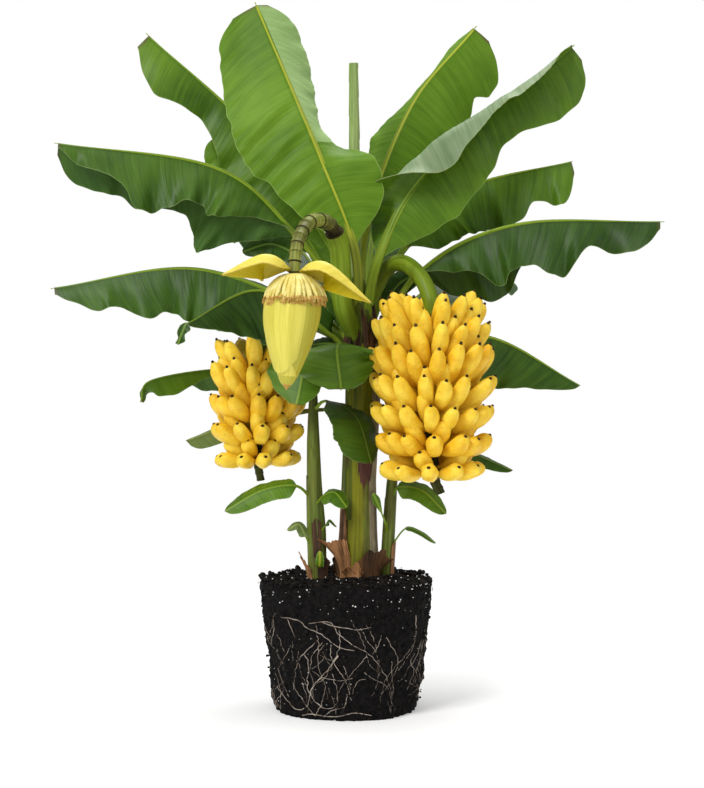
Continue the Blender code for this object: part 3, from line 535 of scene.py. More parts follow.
# %% Copies of one small mesh
def copies(pattern, spots, *looks):
    """One object that holds the pattern's faces once for every array of moved vertices."""
    count = len(pattern.data.vertices)
    faces = [tuple(p.vertices) for p in pattern.data.polygons]
    slots = [p.material_index for p in pattern.data.polygons]
    shifted = [tuple(i + k * count for i in face) for k in range(len(spots)) for face in faces]
    data = bpy.data.meshes.new("copies")
    data.from_pydata(np.vstack(spots), [], shifted)
    item = bpy.data.objects.new("copies", data)
    bpy.context.scene.collection.objects.link(item)
    bpy.data.objects.remove(pattern)
    dress(item, *looks)
    data.polygons.foreach_set("material_index", slots * len(spots))
    return item


def turned(points, size, spot):
    """The pattern's vertices, turned at random, scaled and put at a spot."""
    turn = Matrix.Rotation(dice.uniform(0, TURN), 3, "Z") @ Matrix.Rotation(dice.uniform(0, TURN), 3, "X")
    return points @ np.array(turn).T * size + spot


def lump(faces):
    bpy.ops.object.select_all(action="DESELECT")
    bpy.ops.mesh.primitive_ico_sphere_add(subdivisions=faces, radius=1.0)
    item = bpy.context.object
    co = points_of(item)
    co *= (1.0 + 0.28 * wobble(co @ [3.1, 5.2, 4.1], 3) * wobble(co @ [5.3, 2.1, 3.7], 8))[:, None]
    move(item, co * [1, 0.8, 0.65])
    return item


def on_ball(angle, level, out=0.0):
    return around(CENTRE, angle, BALL_BASE + (BALL_TOP - BALL_BASE) * level / BALL_HEIGHT + out, level)


# %% Crumbs and grit
TOP_CRUMBS, WALL_CRUMBS, FOOT_CRUMBS, WALL_GRIT, TOP_GRIT = 420, 260, 230, 230, 70
FOOT_WIDTH, FOOT_DEPTH = 0.085, 0.049  # half the patch of crumbs in front of the stems
dice = np.random.RandomState(4)
crumb = lump(2)
base = points_of(crumb)
spots = []
for k in range(TOP_CRUMBS):
    angle, reach = dice.uniform(0, TURN), (BALL_TOP - 0.001) * math.sqrt(dice.uniform(0.12, 1.0))
    size = dice.uniform(0.0018, 0.0048) * (1.6 if reach > 0.135 and k % 3 == 0 else 1.0)
    spots.append(turned(base, size, around(CENTRE, angle, reach, BALL_HEIGHT - 0.0005 + 0.3 * size)))
for k in range(WALL_CRUMBS):
    angle, level = dice.uniform(0, TURN), dice.uniform(0.012, 0.230)
    spots.append(turned(base, dice.uniform(0.0012, 0.0034), on_ball(angle, level, 0.0005)))
for k in range(FOOT_CRUMBS):
    angle, reach, size = dice.uniform(2.8, 6.6), dice.uniform(0.72, 1.12), dice.uniform(0.0018, 0.0046)
    level = BALL_HEIGHT + 0.0002 + dice.uniform(0.1, 0.9) * size
    x, y = 0.012 + FOOT_WIDTH * reach * math.cos(angle), FOOT_DEPTH * reach * math.sin(angle)
    spots.append(turned(base, size, (x, y, level)))
crumbs = piece("peat_crumbs", "peat", "root_ball", copies(crumb, spots, peat_brown))

grain = lump(1)
base = points_of(grain)
spots = []
for k in range(WALL_GRIT):
    angle, low = dice.uniform(0, TURN), k % 3 == 0
    level = dice.uniform(0.02, 0.19) if low else 0.232 - 0.05 * dice.uniform(0, 1) ** 1.6
    spots.append(turned(base, dice.uniform(0.0006, 0.0012 if low else 0.0019), on_ball(angle, level, 0.0018)))
for k in range(TOP_GRIT):
    angle, reach = dice.uniform(0, TURN), (BALL_TOP - 0.007) * math.sqrt(dice.uniform(0.1, 1.0))
    size = dice.uniform(0.0008, 0.0019)
    spots.append(turned(base, size, around(CENTRE, angle, reach, BALL_HEIGHT + 0.0045)))
grit = piece("white_grit", "peat", "root_ball", copies(grain, spots, grit_white))
print("crumbs:", len(crumbs.data.polygons), "faces, grit:", len(grit.data.polygons))

# %% [markdown]
# Roots that met the wall of the pot turned and crept along it. The main ones on the
# front are given by their girth and by where they cross the face of the block,
# sideways and up, and the rest wander by a seeded rule all the way round.

# %% Roots
FRONT_ROOTS = (
    (1.1, ((-114, 176), (-85, 174), (-70, 163), (-42, 152), (-15, 132), (15, 125))),
    (0.9, ((-66, 170), (-28, 174), (-11, 152), (20, 130), (39, 119), (66, 84), (84, 40))),
    (0.8, ((-50, 141), (-79, 108), (-89, 73), (-93, 50))),
    (1.2, ((-13, 116), (-35, 86), (-58, 58), (-70, 21), (-96, 19), (-122, 49))),
    (0.8, ((-26, 135), (-24, 108), (0, 71), (9, 38))),
    (0.9, ((-70, 115), (-64, 93), (-66, 54), (-42, 25), (-20, 26), (-14, 49), (-24, 84))),
    (0.6, ((35, 115), (18, 94), (-11, 56), (-15, 38))),
    (0.7, ((62, 150), (55, 132), (46, 117))),
    (0.7, ((70, 146), (90, 100), (77, 62), (61, 47))),
    (0.7, ((118, 110), (114, 95), (120, 73), (107, 47))),
    (0.9, ((-105, 173), (-89, 143))),
    (0.9, ((-122, 143), (-106, 117))),
    (0.9, ((-121, 82), (-102, 35))),
    (1.1, ((-77, 6), (-59, 10), (-20, 8), (15, 15), (46, 9))),
    (0.8, ((-39, 8), (-24, 19), (-2, 27), (2, 49))),
    (0.6, ((33, 75), (20, 69), (10, 47))),
    (0.5, ((-33, 137), (-48, 121), (-33, 110), (-22, 106))),
    (0.5, ((-37, 113), (-50, 97), (-64, 89))))
LOOSE_ROOTS, ROOT_LOW, ROOT_HIGH, ROOT_STEP = 84, 0.008, 0.21, 0.012
skin = BVHTree.FromObject(ball, bpy.context.evaluated_depsgraph_get())


def wall_at(angle, level):
    """How far out the skin of the block is, found by a ray from outside."""
    start = Vector((0.3 * math.cos(angle), 0.3 * math.sin(angle), level))
    hit = skin.ray_cast(start, Vector((-math.cos(angle), -math.sin(angle), 0)))[0]
    return math.hypot(hit.x, hit.y) if hit else math.hypot(*on_ball(angle, level)[:2])


def creep(line, girth, seed):
    """A root along (angle, level) points, pressed to the skin of the block."""
    path = Route([(angle * ROUND, level, 0.0) for angle, level in line])
    count = max(int(path.length / 0.0032), 4)
    spots = path.at(np.linspace(0, 1, count))
    angle = spots[:, 0] / ROUND + 0.010 * wobble(np.arange(count) * 0.9, seed)
    level = np.clip(spots[:, 1], 0.003, 0.226)
    reach = [wall_at(a, z) for a, z in zip(angle, level)]
    reach = np.array([np.mean(reach[max(i - 1, 0):i + 2]) for i in range(count)]) + 0.45 * girth
    thin = girth * (1.0 - 0.55 * np.linspace(0, 1, count))
    points = np.stack([reach * np.cos(angle), reach * np.sin(angle), level, thin], -1)
    return tube(points, (0.1, 0.2, 1), 6, count + 4, lambda a, t, m: 1.0 + 0.22 * wobble(m * 260, seed))


roots = []
for k, (girth, line) in enumerate(FRONT_ROOTS):
    line = [(-math.acos(np.clip(x / math.hypot(*on_ball(0, z)[:2]), -0.97, 0.97)), z) for x, z in mm(*line)]
    roots.append(creep(line, 0.85 * girth / 1000, k))
for k in range(LOOSE_ROOTS):
    angle, level = dice.uniform(0, TURN), dice.uniform(0.03, 0.20)
    heading, bend = dice.uniform(3.4, 6.0), dice.uniform(-0.3, 0.3)
    line = [(angle, level)]
    for step in range(dice.randint(3, 12)):
        bend = 0.6 * bend + dice.uniform(-0.25, 0.25)
        heading += bend
        angle += ROOT_STEP * math.cos(heading) / ROUND
        level += ROOT_STEP * math.sin(heading)
        if not ROOT_LOW < level < ROOT_HIGH:
            heading, level = -heading, min(max(level, ROOT_LOW), ROOT_HIGH)
        line.append((angle, level))
    roots.append(creep(line, dice.uniform(0.0003, 0.0006) * (1.5 if k % 5 == 0 else 1.0), 100 + k))
count = len(roots)
roots = piece("surface_roots", "peat", "root_ball", dress(join(roots, "roots"), root_pale), degrees=80)
print("roots:", count, "with", len(roots.data.polygons), "faces")

# %% [markdown]
# The trunk is a roll of sheaths, so its core is a tube with soft folds, and partial
# shells lie over it where the edge of a sheath shows. Each shell is a grid wrapped
# round part of the stem: its top may be ragged and may lean out, and it gets its wall
# from Solidify.

# %% Sheaths wrapped round a stem
SOIL = 1000 * BALL_HEIGHT + 0.3
SHEATH_WALL = 0.0009
MAIN_STEM = mm((20, 0, SOIL, 38), (21, 0, 270, 35.5), (22, 0, 320, 32), (23, 0, 410, 29), (28, 0, 520, 29.5),
               (31, 0, 610, 31), (31, 0, 680, 29), (26, 0, 735, 21), (18, 0, 775, 11.5))
LEFT_SUCKER = mm((-50, -30, SOIL, 16), (-52, -30, 320, 17), (-56, -30, 400, 14), (-58, -30, 480, 12),
                 (-58, -30, 555, 8.5), (-56, -28, 600, 4.5), (-54, -27, 625, 1))
RIGHT_SUCKER = mm((73, 10, SOIL, 12), (78, 10, 320, 11.5), (83, 12, 400, 10.5), (90, 20, 470, 7.5),
                  (93, 23, 505, 1.2))


def slimmer(line, by):
    return line - mm(0, 0, 0, by)


def shell(line, first, last, low, high, look, lift, top=(1, 1), twist=0, flare=0, ragged=0, sunk=0, seed=1):
    """A sheath from angle first to last round a stem, with 270 degrees at the front; sizes in millimetres."""
    item, u, v = grid(36, 44)
    low, high, lift, sunk = mm(low, high, lift, sunk)
    flare = run(flare, u) / 1000
    level = low + v * (high - low) * run(top, u) * (1.0 + ragged * wobble(u * 26, seed) * v)
    angle = np.radians(first + (last - first) * u + run(twist, u) * v ** 1.5)
    x, y, girth = (np.interp(level, line[:, 2], line[:, k]) for k in (0, 1, 3))
    edge = np.abs(2 * u - 1)
    out = girth + lift + flare * v ** 2 + 0.0007 * wobble(u * 9, seed) * (0.3 + v)
    out += 0.20 * flare * v * wobble(u * 13 + 3 * v, seed + 5)
    out += 0.0026 * np.minimum(flare / 0.01, 1) * v * wobble(u * 34 + 4 * v, seed + 9)
    out -= np.clip(edge - 0.8, 0, 1) * 5 * lift * (1 - v)
    out -= sunk * np.clip(np.hypot(edge, 0.9 * (1 - v)) - 0.62 - 0.12 * wobble(u * 30, seed), 0, 1)
    spots = np.stack([x + out * np.cos(angle), y + out * np.sin(angle), level], -1)
    lay(item, spots, (angle * np.mean(girth), level), (np.ones(len(u)), v))
    thicken(edit(item, outward), SHEATH_WALL)
    return smooth(dress(bake(item), look))


def folds(count, depth, seed):
    def shape(a, t, m):
        return 1.0 + depth * np.sin(a * count + 3 * t + seed) + 0.5 * depth * wobble(a * 2 + 7 * t, seed)

    return shape


# %% The main stem
OVER = (
    (240, 286, 238, 500, stem_lime, 1.6, (0.70, 0.95, 1, 0.90), (-14, -4), dict(seed=2)),
    (282, 318, 238, 560, stem_green, 1.2, (1, 0.9), (0, 6), dict(seed=12)),
    (304, 366, 238, 600, stem_grey, 1.7, (1, 0.9), (0, 4), dict(seed=3)),
    (250, 334, 388, 466, stem_plum, 2.8, (1, 1), 0, dict(seed=4, sunk=10)),
    (186, 232, 238, 365, paper, 2.4, (0.93, 0.96, 1, 0.86), (4, -4), dict(seed=5, ragged=0.05)),
    (226, 246, 238, 345, paper_dark, 2.0, (1, 0.8, 0.5), (0, -6), dict(seed=15, ragged=0.06)),
    (196, 262, 340, 640, stem_green, 1.4, (1, 0.9), (0, 16), dict(seed=6)),
    (232, 300, 470, 655, stem_lime, 2.0, (0.8, 1, 0.9), (-10, 8), dict(seed=16)),
    (20, 110, 238, 560, stem_grey, 1.4, (0.8, 1, 0.7), 0, dict(seed=7)),
    (100, 190, 238, 480, stem_lime, 1.1, (0.9, 1), 0, dict(seed=8)),
    (60, 150, 238, 345, paper, 2.4, (0.7, 1, 0.8), 0, dict(seed=9, ragged=0.05)),
    (196, 262, 590, 690, paper_dark, 2.8, (0.5, 1, 0.6, 0.9), 0, dict(seed=31, flare=6, ragged=0.12)),
    (268, 330, 630, 725, paper_dark, 2.6, (0.9, 0.6, 1, 0.5), 0, dict(seed=32, flare=8, ragged=0.14)))
core = dress(tube(slimmer(MAIN_STEM, 0.6), sides=56, steps=90, shape=folds(5, 0.012, 1)), stem_green)
over = [shell(MAIN_STEM, *row, **more) for *row, more in OVER]
stem = piece("main_stem_sheaths", "sheath", "main_stem", core, *over)
print("stem:", len(stem.data.polygons), "faces,", len(stem.material_slots), "finishes")

# %% The side shoots
SHOOTS = {
    "left_sucker": (LEFT_SUCKER, (
        (215, 292, 238, 470, sucker_green, 0.9), (245, 296, 275, 345, paper_dark, 1.6),
        (150, 240, 238, 420, sucker_green, 0.6), (40, 140, 238, 400, sucker_green, 0.8))),
    "right_sucker": (RIGHT_SUCKER, (
        (200, 290, 238, 430, sucker_green, 0.8), (300, 380, 238, 300, paper, 1.0),
        (60, 170, 238, 390, sucker_green, 0.8)))}
for name, (line, rows) in SHOOTS.items():
    core = dress(tube(slimmer(line, 0.5), sides=32, steps=70, shape=folds(3, 0.015, 2)), sucker_green)
    over = [shell(line, *row, top=(0.86, 1, 0.9), seed=20 + k) for k, row in enumerate(rows)]
    piece(name + "_sheaths", "sheath", name, core, *over)
print("side shoots:", list(SHOOTS))

# %% [markdown]
# Round the foot the oldest sheaths have dried to brown paper. They curl away from the
# stem, split along their fibres and end in ragged points.

# %% Dried sheaths
FLAPS = {
    "dry_sheath_front": (MAIN_STEM, (
        (218, 256, 236, 309, paper, 3.4, (1, 0.90, 0.96, 0.96, 0.92), (-3, -6, -9, -14), (52, 36, 22, 14, 8)),
        (238, 266, 236, 259, paper, 5.0, (0.6, 1, 0.5), 0, (14, 4)),
        (200, 226, 236, 272, paper_dark, 3.0, (0.4, 1, 0.7), 0, (10, 4)))),
    "dry_sheath_right": (MAIN_STEM, (
        (262, 335, 236, 287, paper_dark, 5.0, (0.50, 0.72, 1, 0.90, 1, 0.6), (0, 8), (4, 6, 9, 14, 20)),
        (256, 282, 236, 266, paper, 6.8, (0.7, 1, 0.4), 0, (4, 8)),
        (325, 352, 236, 272, paper_dark, 4.0, (0.5, 0.8, 0.9), (0, 4), (6, 22)))),
    "dry_sheath_back": (MAIN_STEM, (
        (55, 112, 236, 288, paper, 3.6, (0.6, 1, 0.9, 0.5), 0, (6, 16)),
        (104, 165, 236, 276, paper_dark, 4.2, (0.5, 0.9, 1, 0.4), 0, (16, 8)))),
    "dry_sheath_left": (LEFT_SUCKER, (
        (165, 236, 236, 281, paper, 2.0, (1, 0.68, 0.40), (-6, 0), (16, 6, 2)),
        (272, 340, 236, 274, paper_dark, 2.4, (0.7, 1, 0.8), 0, (2, 6))))}
for name, (line, rows) in FLAPS.items():
    flaps = [shell(line, *row, ragged=0.03, seed=40 + k + len(name)) for k, row in enumerate(rows)]
    piece(name + "_paper", "dry_sheath", name, *flaps)
print("dried sheaths:", list(FLAPS))

# %% [markdown]
# A banana leaf is one large blade on a thick midrib. Each half of the blade bends at
# its own angle, and the margins are longer than the midrib, so they ripple. The blade
# is a grid: every row crosses the midrib, and every point goes out along a line that
# starts at the fold angle and curls down further out. Solidify gives it its thickness
# and puts the paler underside on the other face.

# %% One leaf
VEIN_PITCH, VEIN_DEPTH, CREASE_WIDTH, CREASE_DEPTH = 0.0125, 0.00045, 0.0085, 0.0075


def blade(points, facing, width, fold=(0, 0), curl=(10, 10), stalk=9, ramp=0.12, tip=1, wave=(4, 4), pitch=75,
          thick=1, looks=LEAF, seed=1, rib=True, creases=(), pale=None, sink=0.45):
    """A leaf from its points and the way its upper side faces. Width, fold, curl and wave are pairs, for
    the left and the right half. Folds and curls are in degrees, the other sizes in millimetres."""
    points, (stalk, pitch, thick) = mm(*points), mm(stalk, pitch, thick)
    route = Route(points)
    foot = math.dist(points[0], points[1]) / route.length
    reach = route.length * (1.0 - foot)
    item, u, b = grid(34, max(int(reach / 0.0042), 30))
    s, hand = np.abs(2 * u - 1), np.sign(2 * u - 1)
    is_left = hand < 0

    def halves(pair):
        return np.where(is_left, run(pair[0], b), run(pair[1], b))

    taper = np.sin(0.5 * math.pi * np.minimum(b / ramp, 1.0)) ** 0.8
    if tip < 1.0:
        taper = taper * np.sqrt(np.clip(1.0 - (0.992 * np.clip((b - tip) / (1 - tip), 0, 1)) ** 2, 0, 1))
    half = np.maximum(halves(width) / 1000, 0.0) * taper + 0.5 * stalk * (1 - b)
    half = half * (1.0 + 0.018 * wobble(b * 40 + 9 * is_left, seed))
    start_angle = np.radians(halves(fold)) * np.minimum(b / ramp, 1.0)
    more_angle = np.radians(halves(curl))

    def lean(q):
        q = np.clip((q - 0.18) / 0.50, 0, 1)
        return start_angle + more_angle * q * q * (3 - 2 * q)

    steps = [(k + 0.5) / 12 for k in range(12)]
    across = half * s * np.mean([np.cos(lean(s * q)) for q in steps], axis=0)
    drop = half * s * np.mean([np.sin(lean(s * q)) for q in steps], axis=0)
    metres = b * reach
    calm = np.sin(math.pi * np.clip(b, 0.0, 1.0)) ** 0.5 * np.minimum(half / 0.04, 1.0)
    beat = 2 * math.pi * metres / pitch + np.where(is_left, 0.0, 2.2)
    beat += 1.6 * wobble(b * 9 + 4 * is_left, seed + 1)
    ripple = halves(wave) / 1000 * calm * s ** 1.7 * (np.sin(beat) + 0.35 * np.sin(2.3 * beat + 1))
    slant = metres + 0.30 * half * s ** 1.6
    veins = np.sin(2 * math.pi * slant / VEIN_PITCH + 2 * wobble(b * 14, seed + 2))
    ripple += VEIN_DEPTH * calm * np.sqrt(s) * veins
    for start, slope in creases:
        gap = (metres + slope * half * s - start * reach) / CREASE_WIDTH
        ripple += CREASE_DEPTH * gap * np.exp(-0.5 * gap ** 2) * np.minimum(2.2 * s, 1.0) * is_left
    centre, side, out = route.frame(foot + (1 - foot) * b, facing)
    turn = lean(s)
    skin = (hand * np.sin(turn))[:, None] * side + np.cos(turn)[:, None] * out
    spots = centre + (hand * across)[:, None] * side - drop[:, None] * out + ripple[:, None] * skin
    lay(item, spots, (hand * s * half, slant), (half * (1 - s), b))
    wall = thicken(item, thick)
    wall.material_offset, wall.material_offset_rim = 1, 2
    pieces = [bake(dress(item, *looks))]
    # pale paints sheen: the upper side of the right half takes the paler finish, as painted light.
    if pale:
        paint_sheen(item, pale)
    if rib:
        pieces.append(midrib(route, foot, facing, stalk, ramp, looks[3], sink))
    return smooth(join(pieces, "blade"))


def paint_sheen(item, start):
    """Paint sheen on the right half beyond a share along the blade: its upper side takes the paler underside
    finish as painted light.
    """
    across, along = (item.data.uv_layers[name].data for name in ("surface", "margin"))
    for face in item.data.polygons:
        if along[face.loop_start].uv[1] > start and across[face.loop_start].uv[0] > 0.0005:
            face.material_index = 1


def midrib(route, foot, facing, stalk, ramp, look, deep):
    """The grooved leaf stalk, which runs on under the blade as its midrib."""
    count = int(route.length / 0.005) + 2
    item, u, v = grid(18, count)
    rows = np.round(v * count)
    t = np.clip((rows - 1) / (rows.max() - 2), 0, 1) * (1.0 + 0.007 / route.length)
    b = np.clip((t - foot) / (1 - foot), 0, None)
    angle = 2 * math.pi * u - 0.5 * math.pi
    seat = 0.86 + 0.30 * np.clip(1 - t / foot, 0, 1) ** 2
    girth = stalk * np.where(b > 0, 0.86 * np.clip(1 - b, 0, 1) ** 0.75, seat)
    girth = np.where((rows == 0) | (rows == rows.max()), 0.0, np.maximum(girth, 0.0009))
    x, y = np.cos(angle), np.sin(angle)
    groove = np.exp(-(x / 0.45) ** 2) * 0.42
    y = np.where(y > 0, y * 0.62 - groove * np.clip(y, 0, 1), y)
    centre, side, out = route.frame(t, facing)
    sink = deep * girth * np.minimum(b / ramp, 1.0)
    spots = centre + (girth * x)[:, None] * side + (girth * y - sink)[:, None] * out
    lay(item, spots, (angle * stalk, t * route.length), (np.ones(len(t)), np.minimum(b, 1.0)))
    return dress(weld(item), look)


print("leaf rule ready")

# %% [markdown]
# Each leaf's midrib runs through its points: its seat in the stem, the start of the
# blade, then on to its tip. `facing` is the way the upper side looks. The leaves that
# stand up show their upper side, and those that lean out hang in two halves. Widths
# and folds are one number, an even run from foot to tip, or (percent along, value)
# pairs where a margin is notched. `TORN` adds a lobe or a limp tip to two leaves, and
# `CROWN` is a tuft of small leaves that fills the top of the stem.

